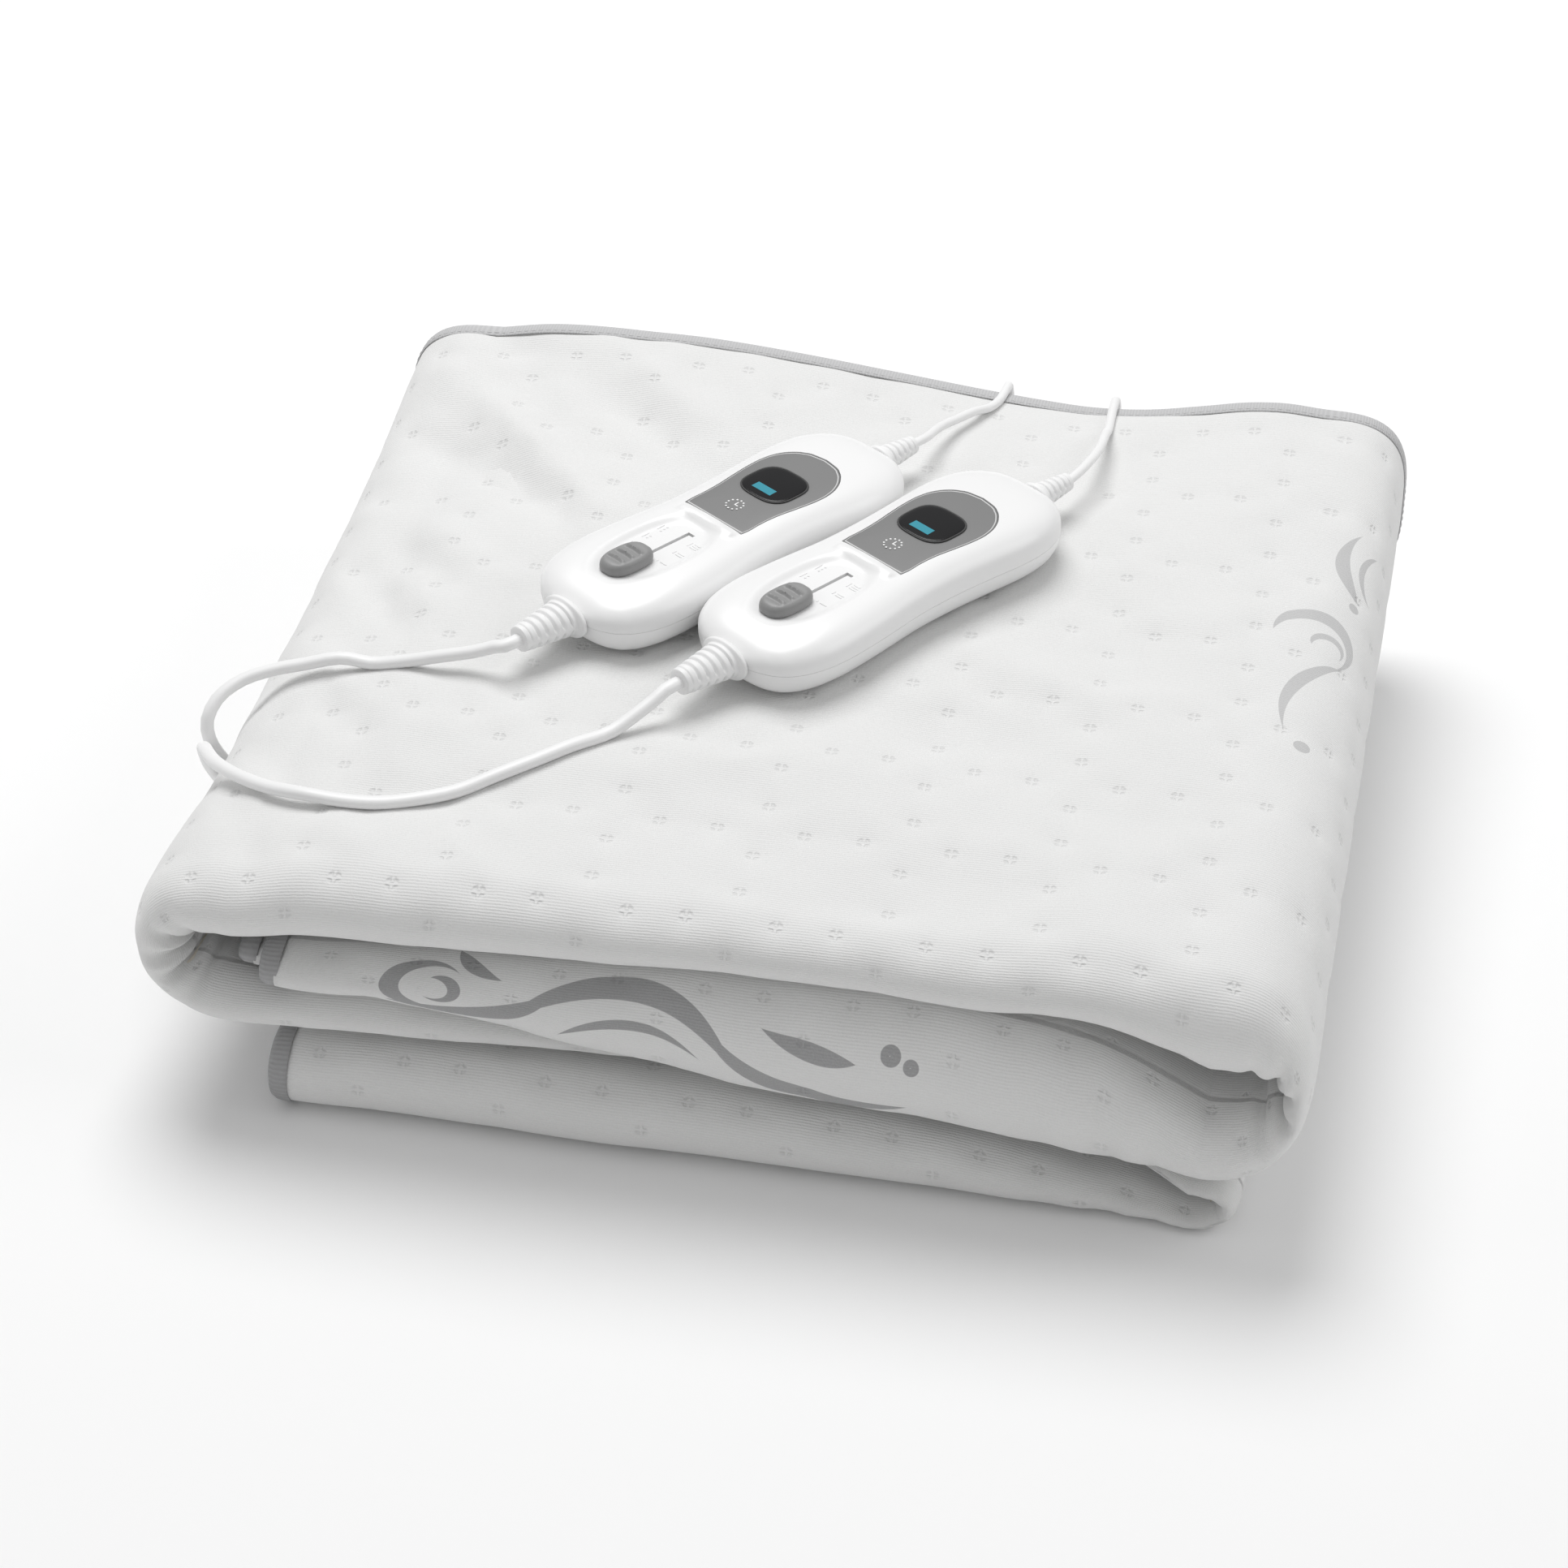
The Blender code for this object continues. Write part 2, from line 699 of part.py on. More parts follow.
def boot_holes(made, holder, name):
    for index, way in enumerate((-1, 1)):
        inner_x = way * (body_half - boot_neck_length - joint_overlap)
        hole = rod_mesh("neck", boot_neck_radius + hole_clear, (inner_x, 0, part_line + seat_gap / 2),
                        (way * (body_half + overrun), 0, part_line + seat_gap / 2))
        boolean(made, tool(f"{name}_neck_{index}", hole, holder), "DIFFERENCE")


def top_shell(side, holder):
    base = part_line + seat_gap
    outer = [body_ring(h, inset, base, roof_z) for h, inset in top_inset_shares[::-1]]
    wall_share = shell_wall / bulb_half
    inner = []
    for h, inset in top_inset_shares[::2]:
        ring = body_ring(1, wall_share + inset, 0, base)
        inner.append([Vector((p.x, p.y, base + (inner_roof - base) * h)) for p in ring])
    name = "top_shell_" + side
    made = controller_piece(name, shell_mesh(name, outer + inner), holder, white_plastic, 0.3)
    for index, x in enumerate(boss_xs):
        boss = rod_mesh("boss", boss_radius, (x, 0, base), (x, 0, inner_roof + joint_overlap))
        boolean(made, tool(f"{name}_boss_{index}", boss, holder), "UNION")
        hole = rod_mesh("hole", screw_radius + hole_clear, (x, 0, base - overrun),
                        (x, 0, head_recess + screw_length + seat_gap))
        boolean(made, tool(f"{name}_hole_{index}", hole, holder), "DIFFERENCE")
    boot_holes(made, holder, name)
    pocket = outline_mesh("pocket", fascia_outline(seat_gap), pocket_floor, roof_z + overrun)
    boolean(made, tool(name + "_pocket", pocket, holder), "DIFFERENCE")
    view_hole = box_mesh("view", (window_x - display_half_x - display_clear, -display_half_y - display_clear,
                                  inner_roof - overrun),
                         (window_x + display_half_x + display_clear, display_half_y + display_clear, roof_z))
    boolean(made, tool(name + "_view", view_hole, holder), "DIFFERENCE")
    floor_outline = oval(scoop_x, scoop_half_x, scoop_half_y, scoop_steps, scoop_power)
    rim_grow = scoop_slope * (scoop_depth + overrun) / scoop_depth
    rim_outline = oval(scoop_x, scoop_half_x + rim_grow, scoop_half_y + rim_grow, scoop_steps, scoop_power)
    scoop = outline_mesh("scoop", floor_outline, scoop_floor, roof_z + overrun, rim_outline)
    boolean(made, tool(name + "_scoop", scoop, holder), "DIFFERENCE")
    slot = box_mesh("slot", (knob_x - stem_half_x - slot_clear, -stem_half_y - slot_clear, inner_roof - overrun),
                    (slot_end, stem_half_y + slot_clear, roof_z))
    boolean(made, tool(name + "_slot", slot, holder), "DIFFERENCE")


def fascia_outline(grow):
    """Plan of the grey plate: a straight front edge, sides that widen, a round back."""
    points = [(fascia_front - grow, fascia_front_half + grow), (fascia_front - grow, -fascia_front_half - grow)]
    centre_x = fascia_back - fascia_half
    steps = 10
    for step in range(steps + 1):
        angle = -pi / 2 + pi * step / steps
        points.append((centre_x + (fascia_half + grow) * cos(angle), (fascia_half + grow) * sin(angle)))
    return points


def make_fascia(side, holder):
    low = pocket_floor + seat_gap
    name = "fascia_" + side
    plate = outline_mesh(name, fascia_outline(0), low, low + fascia_thick)
    made = controller_piece(name, plate, holder, grey_plastic, 0.35)
    hole = oval(window_x, window_half_x + seat_gap, window_half_y + seat_gap, window_steps, window_power)
    cutter = outline_mesh("window_hole", hole, low - overrun, low + fascia_thick + overrun)
    boolean(made, tool(name + "_hole", cutter, holder), "DIFFERENCE")
    pane_outline = oval(window_x, window_half_x, window_half_y, window_steps, window_power)
    pane = outline_mesh("window_" + side, pane_outline, low, low + fascia_thick + window_proud)
    controller_piece("window_" + side, pane, holder, (0.02, 0.02, 0.02), 0.08)
    screen = box_mesh("display_" + side, (window_x - display_half_x, -display_half_y, board_top + seat_gap),
                      (window_x + display_half_x, display_half_y, low - display_drop))
    controller_piece("display_" + side, screen, holder, (0.03, 0.33, 0.40), 0.3)


def make_inside(side, holder):
    board = box_mesh("circuit_board_" + side, (board_low_x, -board_half_y, board_seat + seat_gap),
                     (board_high_x, board_half_y, board_top))
    controller_piece("circuit_board_" + side, board, holder, (0.05, 0.25, 0.10), 0.5)
    middle = knob_x + slider_travel / 2
    switch = box_mesh("switch_body_" + side, (middle - switch_half_x, -switch_half_y, board_top + seat_gap),
                      (middle + switch_half_x, switch_half_y, switch_top))
    controller_piece("switch_body_" + side, switch, holder, (0.05, 0.05, 0.05), 0.5)
    for index, x in enumerate(boss_xs):
        head_z = head_recess - seat_gap
        name = f"case_screw_{side}_{index + 1}"
        screw = controller_piece(name, rod_mesh(name, screw_radius, (x, 0, head_z - joint_overlap),
                                                (x, 0, head_z + screw_length), 8), holder,
                                 (0.6, 0.6, 0.62), 0.35, 1.0)
        head = rod_mesh("head", screw_head_radius, (x, 0, head_z - screw_head_height), (x, 0, head_z), 10)
        boolean(screw, tool(name + "_head", head, holder), "UNION")


def make_slider(side, holder):
    """Oval thumb piece with three ridges on a stem that runs in the slot."""
    name = "slider_knob_" + side
    base = scoop_floor + seat_gap
    carrier = bpy.data.objects.new("slider_axis_" + side, None)
    parts.objects.link(carrier)
    carrier.parent = holder
    carrier.location = (knob_x, 0, base)
    loops = []
    for height, keep in knob_shares:
        outline = oval(0, knob_half_x * keep, knob_half_y * keep, knob_steps, knob_power)
        loops.append([Vector((x, y, knob_height * height)) for x, y in outline])
    mesh = bpy.data.meshes.new(name)
    form = bmesh.new()
    rows = [[form.verts.new(point) for point in loop] for loop in loops]
    for near, far in zip(rows, rows[1:]):
        for i in range(len(near)):
            j = (i + 1) % len(near)
            form.faces.new((near[i], near[j], far[j], far[i]))
    form.faces.new(rows[0][::-1])
    form.faces.new(rows[-1])
    form.to_mesh(mesh)
    form.free()
    mesh.shade_smooth()
    mesh.set_sharp_from_angle(angle=radians(40))
    made = add_object(name, mesh, grey_plastic, 0.45)
    made.parent = carrier
    for index in (-1, 0, 1):
        x = index * knob_ridge_pitch
        ridge = box_mesh("ridge", (x - knob_ridge_wide / 2, -knob_ridge_half, knob_height - knob_ridge),
                         (x + knob_ridge_wide / 2, knob_ridge_half, knob_height + knob_ridge))
        boolean(made, tool(f"{name}_ridge_{index + 1}", ridge, carrier), "UNION")
    stem = box_mesh("stem", (-stem_half_x, -stem_half_y, switch_top + seat_gap - base),
                    (stem_half_x, stem_half_y, joint_overlap))
    boolean(made, tool(name + "_stem", stem, carrier), "UNION")


def boot(name, holder, way, length, wide, tall, small, ribs):
    """Strain relief with a flange, a taper of ribs and a neck that the two shells clamp."""
    axis_z = part_line + seat_gap / 2
    flange = length * boot_flange_share
    profile = [(-boot_neck_length, boot_neck_radius, boot_neck_radius),
               (seat_gap, boot_neck_radius, boot_neck_radius),
               (seat_gap, wide, tall), (seat_gap + flange, wide, tall)]
    start_w, start_t = wide * boot_start_wide_share, tall * boot_start_tall_share
    end_t = small * boot_end_tall_share
    pitch = (length - flange) / ribs
    shrink = 1 - boot_rib_depth_share
    for index in range(ribs):
        share = (index + 1) / ribs
        half_w = start_w + (small - start_w) * share
        half_t = start_t + (end_t - start_t) * share
        start = seat_gap + flange + pitch * index
        profile.append((start + pitch * boot_groove_share, half_w * shrink, half_t * shrink))
        profile.append((start + pitch, half_w, half_t))
    loops = []
    for x, half_w, half_t in profile:
        loops.append([Vector((way * (body_half + x), half_w * cos(tau * i / boot_steps),
                              axis_z + half_t * sin(tau * i / boot_steps))) for i in range(boot_steps)])
    mesh = ring_mesh(name, loops)
    mesh.shade_smooth()
    mesh.set_sharp_from_angle(angle=radians(35))
    controller_piece(name, mesh, holder, white_plastic, 0.5)


def make_controller(side):
    x, y = controller_places[side]
    holder = bpy.data.objects.new("controller_" + side, None)
    parts.objects.link(holder)
    holder.location = (x, y, top_height + controller_clear)
    holder.rotation_euler = (0, 0, controller_turn)
    bottom_shell(side, holder)
    top_shell(side, holder)
    make_fascia(side, holder)
    make_inside(side, holder)
    make_slider(side, holder)
    boot("mains_boot_" + side, holder, -1, mains_boot_length, mains_boot_wide, mains_boot_tall,
         mains_boot_small, mains_boot_ribs)
    boot("blanket_boot_" + side, holder, 1, blanket_boot_length, blanket_boot_wide, blanket_boot_tall,
         blanket_boot_small, blanket_boot_ribs)


for controller_side in controller_places:
    make_controller(controller_side)


# Cords: a mains lead, its coil and plug, and a thin lead to the blanket, for each controller

mains_dia = 5.2 * mm
lead_dia = 3.6 * mm
coil_pitch = 5.75 * mm
coil_outer = 36.6 * mm
coil_turns = 6.25
climb_turns = 0.5
coil_floor_gap = 1.1 * mm
loop_steps = 24
step_in_diameters = 2.4

plug_length = 36 * mm
plug_half_width = 13 * mm
plug_half_height = 6.8 * mm
plug_neck_half = 3.4 * mm
plug_steps = 12
plug_shares = ((0, 0.0), (0.12, 0.0), (0.38, 0.28), (0.48, 0.78), (0.58, 1.0), (0.94, 1.0), (1.0, 0.90))
pin_radius = 2 * mm
pin_length = 19 * mm
pin_spacing = 18.6 * mm
pin_depth = 6 * mm

tie_thick = 0.6 * mm
tie_width = 5 * mm
tie_clear = 0.4 * mm
tie_turns = {"far": radians(-60), "near": radians(150)}

terminal_half_width = 14 * mm
terminal_depth = 13 * mm
terminal_height = 17 * mm
terminal_drop = 12.5 * mm
lead_bend = 9 * mm
lead_lift = 2.6 * mm
lead_bend_shares = ((0.2, 0.0), (0.75, 0.15))

# Routes of the free cords, chosen by hand: they lie on the top, go over the left edge, hang down
# the side and run along the floor to the back

mains_route_far = (
    (-112, -56, 110), (-126, -53, 106.9), (-146, -51.5, 106.9), (-162, -51, 101.6), (-180, -51, 94.8),
    (-196, -51, 82.2), (-204.4, -47, 65), (-205.4, -38, 44), (-202, -22, 22), (-199, 2, 7.5),
    (-198, 30, 3.2), (-199, 70, 3), (-198, 110, 3), (-198, 150, 3), (-190, 179, 3), (-168, 192.5, 3),
    (-130, 193.5, 3), (-90, 193, 3), (-58, 193.5, 3.2), (-30, 202, 3.6))
mains_route_near = (
    (-49, -71, 110.5), (-60, -84, 106.9), (-78, -100, 106.9), (-102, -116, 106.9), (-128, -126, 106.6),
    (-150, -128, 103.4), (-169, -124, 99.4), (-186, -113, 91.6), (-199, -97, 79), (-205.4, -78, 60),
    (-207.4, -57, 40), (-208, -34, 21), (-207, -8, 7.8), (-206, 20, 3.2), (-207.5, 60, 3), (-206.5, 105, 3),
    (-207, 150, 3), (-203, 185, 3), (-188, 208, 3), (-170, 221, 3.2))
coil_places = {"far": (-8 * mm, 243 * mm), "near": (-125 * mm, 243 * mm)}
coil_starts = {"far": (-pi / 2, 1), "near": (pi, -1)}
terminal_xs = {"far": 41 * mm, "near": 84 * mm}
lead_route_far = ((19.5, 118.5, 112), (24, 134, 108))
lead_route_near = ((80.5, 104, 112), (85, 122, 106.3))
lead_shares_far = ((0.2, 0.45), (0.55, 0.72), (0.88, 0.93))
lead_shares_near = ((1.05, 0.45), (1.02, 0.72), (1.0, 0.93))


def smooth(route, spacing):
    """Even points along a Catmull-Rom curve through the route; its first and last runs stay straight."""
    points = route[1:-1]
    fine = []
    for a, b, c, d in zip(route, route[1:], route[2:], route[3:]):
        for i in range(24):
            t = i / 24
            fine.append(0.5 * (2 * b + (c - a) * t + (2 * a - 5 * b + 4 * c - d) * t * t
                               + (3 * b - a - 3 * c + d) * t ** 3))
    fine.append(points[-1])
    lengths = [0.0]
    for a, b in zip(fine, fine[1:]):
        lengths.append(lengths[-1] + (b - a).length)
    count = max(2, round(lengths[-1] / spacing))
    wanted = [lengths[-1] * i / count for i in range(count + 1)]
    table = np.array([tuple(p) for p in fine])
    even = [Vector([float(np.interp(w, lengths, table[:, k])) for k in range(3)]) for w in wanted]
    ends = (points[0] - route[0]).length + (route[-1] - points[-1]).length
    return [route[0], *even, route[-1]], lengths[-1] + ends


def controller_point(side, x, z):
    cx, cy = controller_places[side]
    return Vector((cx + x * cos(controller_turn), cy + x * sin(controller_turn),
                   top_height + controller_clear + z))


def top_z(x, y):
    """Height of the top velour, whose patches near the back edge are split from corner to corner."""
    stations = (left_x, mid_left_x, mid_right_x, upper_right_x)
    left, right = next(pair for pair in zip(stations, stations[1:]) if x <= pair[1])
    u = (x - left) / (right - left)
    share = (hem_start_y - droop_y) / (back_y - droop_y)
    v = max(0.0, (y - droop_y) / (hem_start_y - droop_y))
    fall_left, fall_right = droop(left) * share, droop(right) * share
    if v > 1:
        return top_height * (1 + (fall_left * (1 - u) + fall_right * u) * v)
    fall = fall_left * v if u + v <= 1 else fall_right * (u + v - 1) + fall_left * (1 - u)
    return top_height * (1 + fall)


def coil_points(side):
    """Two layers that spiral in and out again, climbing in the half turn where they meet."""
    cx, cy = coil_places[side]
    start, way = coil_starts[side]
    low = mains_dia / 2 + coil_floor_gap
    points = []
    for i in range(round(coil_turns * loop_steps) + 1):
        turn = i / loop_steps
        radius = coil_outer - coil_pitch * min(turn, coil_turns - turn)
        climb = min(1.0, max(0.0, 0.5 + (turn - coil_turns / 2) / climb_turns))
        angle = start + way * tau * turn
        points.append(Vector((cx + radius * cos(angle), cy + radius * sin(angle), low + coil_pitch * climb)))
    entry = Vector((-way * sin(start), way * cos(start), 0)) * mains_dia
    end_angle = start + way * tau * coil_turns
    leaving = Vector((-way * sin(end_angle), way * cos(end_angle), 0)) * mains_dia
    return [points[0] - entry, *points, points[-1] + leaving]


def least_gap(points, diameter):
    """Least clear distance between stretches of one tube that aren't neighbours along it."""
    places = np.array([tuple(p) for p in points])
    least = 1.0
    for i in range(len(places)):
        ahead = places[i + loop_steps // 2:]
        if len(ahead) > 1:
            a, b = ahead[:-1], ahead[1:]
            along = b - a
            t = np.clip(((places[i] - a) * along).sum(1) / (along * along).sum(1), 0, 1)
            least = min(least, np.linalg.norm(a + along * t[:, None] - places[i], axis=1).min())
    return least - diameter


def make_plug(side, start, way):
    """Flat two-pin plug lying in line with the end of its coil."""
    across = Vector((-way.y, way.x, 0))
    name = "plug_body_" + side
    loops = []
    for along, grow in plug_shares:
        half_w = plug_neck_half + (plug_half_width - plug_neck_half) * grow
        half_h = plug_neck_half + (plug_half_height - plug_neck_half) * grow
        centre = start + way * (plug_length * along)
        loops.append([centre + across * (half_w * cos(tau * i / plug_steps))
                      + Vector((0, 0, half_h * sin(tau * i / plug_steps))) for i in range(plug_steps)])
    mesh = ring_mesh(name, loops)
    mesh.shade_smooth()
    mesh.set_sharp_from_angle(angle=radians(40))
    body = add_object(name, mesh, white_plastic, 0.45)
    face = start + way * plug_length
    for index, sign in enumerate((-1, 1)):
        axis = across * (sign * pin_spacing / 2)
        hole = rod_mesh("pin_hole", pin_radius + hole_clear, face + axis - way * pin_depth,
                        face + axis + way * overrun, 10)
        boolean(body, tool(f"{name}_hole_{index}", hole, None), "DIFFERENCE")
        pin_name = f"plug_pin_{side}_{index + 1}"
        pin = rod_mesh(pin_name, pin_radius, face + axis - way * (pin_depth - seat_gap),
                       face + axis + way * pin_length, 10)
        add_object(pin_name, pin, (0.75, 0.75, 0.76), 0.25, 1.0)


def make_tie(side):
    """Band round all the turns at one place of the coil."""
    cx, cy = coil_places[side]
    inner = coil_outer - coil_pitch * coil_turns / 2 - mains_dia / 2 - tie_clear
    outer = coil_outer + mains_dia / 2 + tie_clear
    low = coil_floor_gap - tie_clear
    high = coil_floor_gap + mains_dia + coil_pitch + tie_clear
    name = "coil_tie_" + side
    band = box_mesh(name, (cx - outer - tie_thick, cy - tie_width / 2, low - tie_thick),
                    (cx - inner + tie_thick, cy + tie_width / 2, high + tie_thick))
    turned = Matrix.Translation((cx, cy, 0)) @ Matrix.Rotation(tie_turns[side], 4, "Z")
    turned = turned @ Matrix.Translation((-cx, -cy, 0))
    band.transform(turned)
    hole = box_mesh("tie_hole", (cx - outer, cy - tie_width, low), (cx - inner, cy + tie_width, high))
    hole.transform(turned)
    made = add_object(name, band, (0.85, 0.85, 0.85), 0.5)
    boolean(made, tool(name + "_hole", hole, None), "DIFFERENCE")


def make_cords(side, mains_route, lead_route, lead_shares):
    turns = coil_points(side)
    tube("mains_coil_" + side, turns, mains_dia, 1, white_plastic, 0.5)
    print("coil", side, "least gap mm", round(least_gap(turns, mains_dia) / mm, 2))
    boot_end = body_half + seat_gap + mains_boot_length + seat_gap
    axis_z = part_line + seat_gap / 2
    out = (controller_point(side, -1, 0) - controller_point(side, 0, 0)).normalized()
    start = controller_point(side, -boot_end, axis_z)
    coil_way = (turns[1] - turns[0]).normalized()
    finish = turns[0] - coil_way * seat_gap
    route = [start, start + out * mains_dia, *[Vector(p) * mm for p in mains_route],
             finish - coil_way * mains_dia, finish]
    points, length = smooth(route, mains_dia * step_in_diameters)
    tube("mains_lead_" + side, points, mains_dia, 2, white_plastic, 0.5)
    coil_length = sum((b - a).length for a, b in zip(turns, turns[1:]))
    print("mains lead", side, "metres", round(length, 3), "and in the coil", round(coil_length, 3))
    leave = (turns[-1] - turns[-2]).normalized()
    make_plug(side, turns[-1] + leave * seat_gap, leave)
    make_tie(side)

    x = terminal_xs[side]
    start = controller_point(side, body_half + 2 * seat_gap + blanket_boot_length, axis_z)
    edge = top_z(x, back_y)
    bend_y = back_y + lead_bend
    route = [start, start - out * lead_dia, *[Vector(p) * mm for p in lead_route]]
    first = route[-1]
    first.z = top_z(first.x, first.y) + lead_lift
    for x_share, y_share in lead_shares:
        place_x = first.x + (x - first.x) * x_share
        place_y = droop_y + (back_y - droop_y) * y_share
        route.append(Vector((place_x, place_y, top_z(place_x, place_y) + lead_lift)))
    (over_out, over_fall), (down_out, down_fall) = lead_bend_shares
    route.append(Vector((x, back_y + lead_bend * over_out, edge - lead_bend * over_fall + lead_lift)))
    route.append(Vector((x, back_y + lead_bend * down_out, edge - lead_bend * down_fall)))
    route.append(Vector((x, bend_y, edge - terminal_drop + lead_dia)))
    route.append(Vector((x, bend_y, edge - terminal_drop)))
    points, length = smooth(route, lead_dia * step_in_diameters)
    tube("blanket_lead_" + side, points, lead_dia, 2, white_plastic, 0.5)
    print("blanket lead", side, "metres", round(length, 3))
    make_terminal(side, x, edge - terminal_drop - seat_gap)


def make_terminal(side, x, top):
    """Moulded block sewn to the back hem, where the thin lead joins the heating cable."""
    name = "lead_terminal_" + side
    low_y, high_y = back_y + seat_gap, back_y + seat_gap + terminal_depth
    block = box_mesh(name, (x - terminal_half_width, low_y, top - terminal_height),
                     (x + terminal_half_width, high_y, top))
    made = add_object(name, block, white_plastic, 0.45)
    bevel = made.modifiers.new("edges", "BEVEL")
    bevel.width = terminal_depth / 6
    bevel.segments = 2


make_cords("far", mains_route_far, lead_route_far, lead_shares_far)
make_cords("near", mains_route_near, lead_route_near, lead_shares_near)
bpy.context.view_layer.update()
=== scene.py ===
import math

import bmesh
import bpy
import numpy as np
from mathutils import Matrix, Vector, noise


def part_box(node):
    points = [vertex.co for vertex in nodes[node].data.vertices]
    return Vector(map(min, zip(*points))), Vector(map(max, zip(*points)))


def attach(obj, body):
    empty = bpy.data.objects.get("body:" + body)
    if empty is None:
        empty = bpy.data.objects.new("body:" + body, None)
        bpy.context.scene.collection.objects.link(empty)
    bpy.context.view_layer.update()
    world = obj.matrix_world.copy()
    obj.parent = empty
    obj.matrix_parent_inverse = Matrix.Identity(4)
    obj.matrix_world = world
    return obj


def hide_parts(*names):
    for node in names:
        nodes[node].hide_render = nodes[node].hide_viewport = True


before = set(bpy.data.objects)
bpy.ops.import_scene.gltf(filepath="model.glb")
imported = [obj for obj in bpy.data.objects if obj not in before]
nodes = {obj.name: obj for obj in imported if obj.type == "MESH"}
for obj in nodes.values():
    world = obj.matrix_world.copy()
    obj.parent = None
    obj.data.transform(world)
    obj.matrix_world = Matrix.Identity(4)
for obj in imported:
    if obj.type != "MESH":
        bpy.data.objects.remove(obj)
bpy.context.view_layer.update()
scene = bpy.context.scene
mm = 0.001
print("frame loaded:", len(nodes), "nodes")


def addObject(name, data, mat=None):
    obj = bpy.data.objects.new(name, data)
    scene.collection.objects.link(obj)
    if mat:
        data.materials.append(mat)
    return obj


def newMaterial(name):
    mat = bpy.data.materials.new(name)
    mat.use_nodes = True
    return mat, mat.node_tree, mat.node_tree.nodes["Principled BSDF"]


def setInputs(tree, node, inputs):
    for socket, value in inputs.items():
        if isinstance(value, bpy.types.NodeSocket):
            tree.links.new(value, node.inputs[socket])
        else:
            node.inputs[socket].default_value = value


def addNode(tree, kind, inputs=None, **attributes):
    node = tree.nodes.new(kind)
    for key, value in attributes.items():
        setattr(node, key, value)
    setInputs(tree, node, inputs or {})
    return node


# camera, lamps and floor; each lamp: place, size in metres, power in watts
cameraSpec = {
    "place": (0.2327, -1.1963, 0.9199),
    "target": (-0.00646, -0.02482, 0.05),
    "lens": 93.17,
    "sensor": 36.0,
    "clip": (0.05, 30.0),
}
lampSpec = {
    "target": (0.0, 0.0, 0.05),
    "colour": (1.0, 1.0, 1.0),
    "lamps": {
        "softTop": ((-0.5, 0.9, 2.3), 1.7, 41.0),
        "leftWall": ((-2.2, -0.5, 1.3), 1.3, 3.0),
        "frontFill": ((0.7, -2.6, 1.2), 1.6, 1.0),
        "rightFill": ((2.1, 0.2, 1.6), 1.6, 10.5),
    },
}
floorSpec = {
    "half": 6.0,
    "colour": (0.93, 0.93, 0.93, 1),
    "roughness": 0.9,
    "worldColour": (1.0, 1.0, 1.0, 1),
    "worldPower": 0.44,
}


def aim(obj, place, target):
    obj.location = place
    obj.rotation_mode = "QUATERNION"
    obj.rotation_quaternion = (Vector(target) - Vector(place)).to_track_quat("-Z", "Y")


def makeCamera():
    spec = cameraSpec
    data = bpy.data.cameras.new("camera")
    data.lens = spec["lens"]
    data.sensor_width = spec["sensor"]
    data.clip_start, data.clip_end = spec["clip"]
    scene.camera = addObject("camera", data)
    aim(scene.camera, spec["place"], spec["target"])


def makeLamps():
    for name, (place, size, power) in lampSpec["lamps"].items():
        data = bpy.data.lights.new(name, "AREA")
        data.shape = "DISK"
        data.size, data.energy, data.color = size, power, lampSpec["colour"]
        aim(addObject(name, data), place, lampSpec["target"])


def makeFloor():
    spec = floorSpec
    world = bpy.data.worlds.new("softRoom")
    world.use_nodes = True
    setInputs(world.node_tree, world.node_tree.nodes["Background"],
              {"Color": spec["worldColour"], "Strength": spec["worldPower"]})
    scene.world = world
    h = spec["half"]
    mesh = bpy.data.meshes.new("paleFloor")
    mesh.from_pydata([(-h, -h, 0), (h, -h, 0), (h, h, 0), (-h, h, 0)], [], [(0, 1, 2, 3)])
    mat, tree, shader = newMaterial("paleFloor")
    setInputs(tree, shader, {"Base Color": spec["colour"], "Roughness": spec["roughness"]})
    addObject("paleFloor", mesh, mat)


makeCamera()
makeLamps()
makeFloor()
scene.view_settings.view_transform = "Standard"
print("camera, lights and floor made")


def mathNode(tree, operation, *values):
    return addNode(tree, "ShaderNodeMath", dict(enumerate(values)), operation=operation).outputs[0]


def vectorNode(tree, operation, *values):
    node = addNode(tree, "ShaderNodeVectorMath", dict(enumerate(values)), operation=operation)
    return node.outputs["Value" if operation == "LENGTH" else "Vector"]


def scaleNode(tree, colour, tone):
    node = addNode(tree, "ShaderNodeVectorMath", {0: colour, "Scale": tone}, operation="SCALE")
    return node.outputs["Vector"]


def splitNode(tree, vector):
    return addNode(tree, "ShaderNodeSeparateXYZ", {0: vector}).outputs


def noiseNode(tree, vector, scale, detail=2.0):
    node = addNode(tree, "ShaderNodeTexNoise", {"Vector": vector, "Scale": scale, "Detail": detail})
    return node.outputs["Fac"]


# gives toLow at low and toHigh at high
def rangeNode(tree, value, low, high, smooth=True, toLow=0.0, toHigh=1.0):
    node = addNode(
        tree, "ShaderNodeMapRange",
        {"Value": value, "From Min": low, "From Max": high, "To Min": toLow, "To Max": toHigh},
        interpolation_type="SMOOTHSTEP" if smooth else "LINEAR")
    return node.outputs["Result"]


def bumpNode(tree, height, strength, distance):
    node = addNode(tree, "ShaderNodeBump", {"Height": height, "Strength": strength, "Distance": distance})
    return node.outputs["Normal"]


plasticLook = {
    "grainScale": 1400, "grainDetail": 3, "grainDepth": 0.2 * mm,
    "cloudScale": 22, "tintSpread": 0.015, "roughSpread": 0.05, "coatRoughness": 0.15,
}


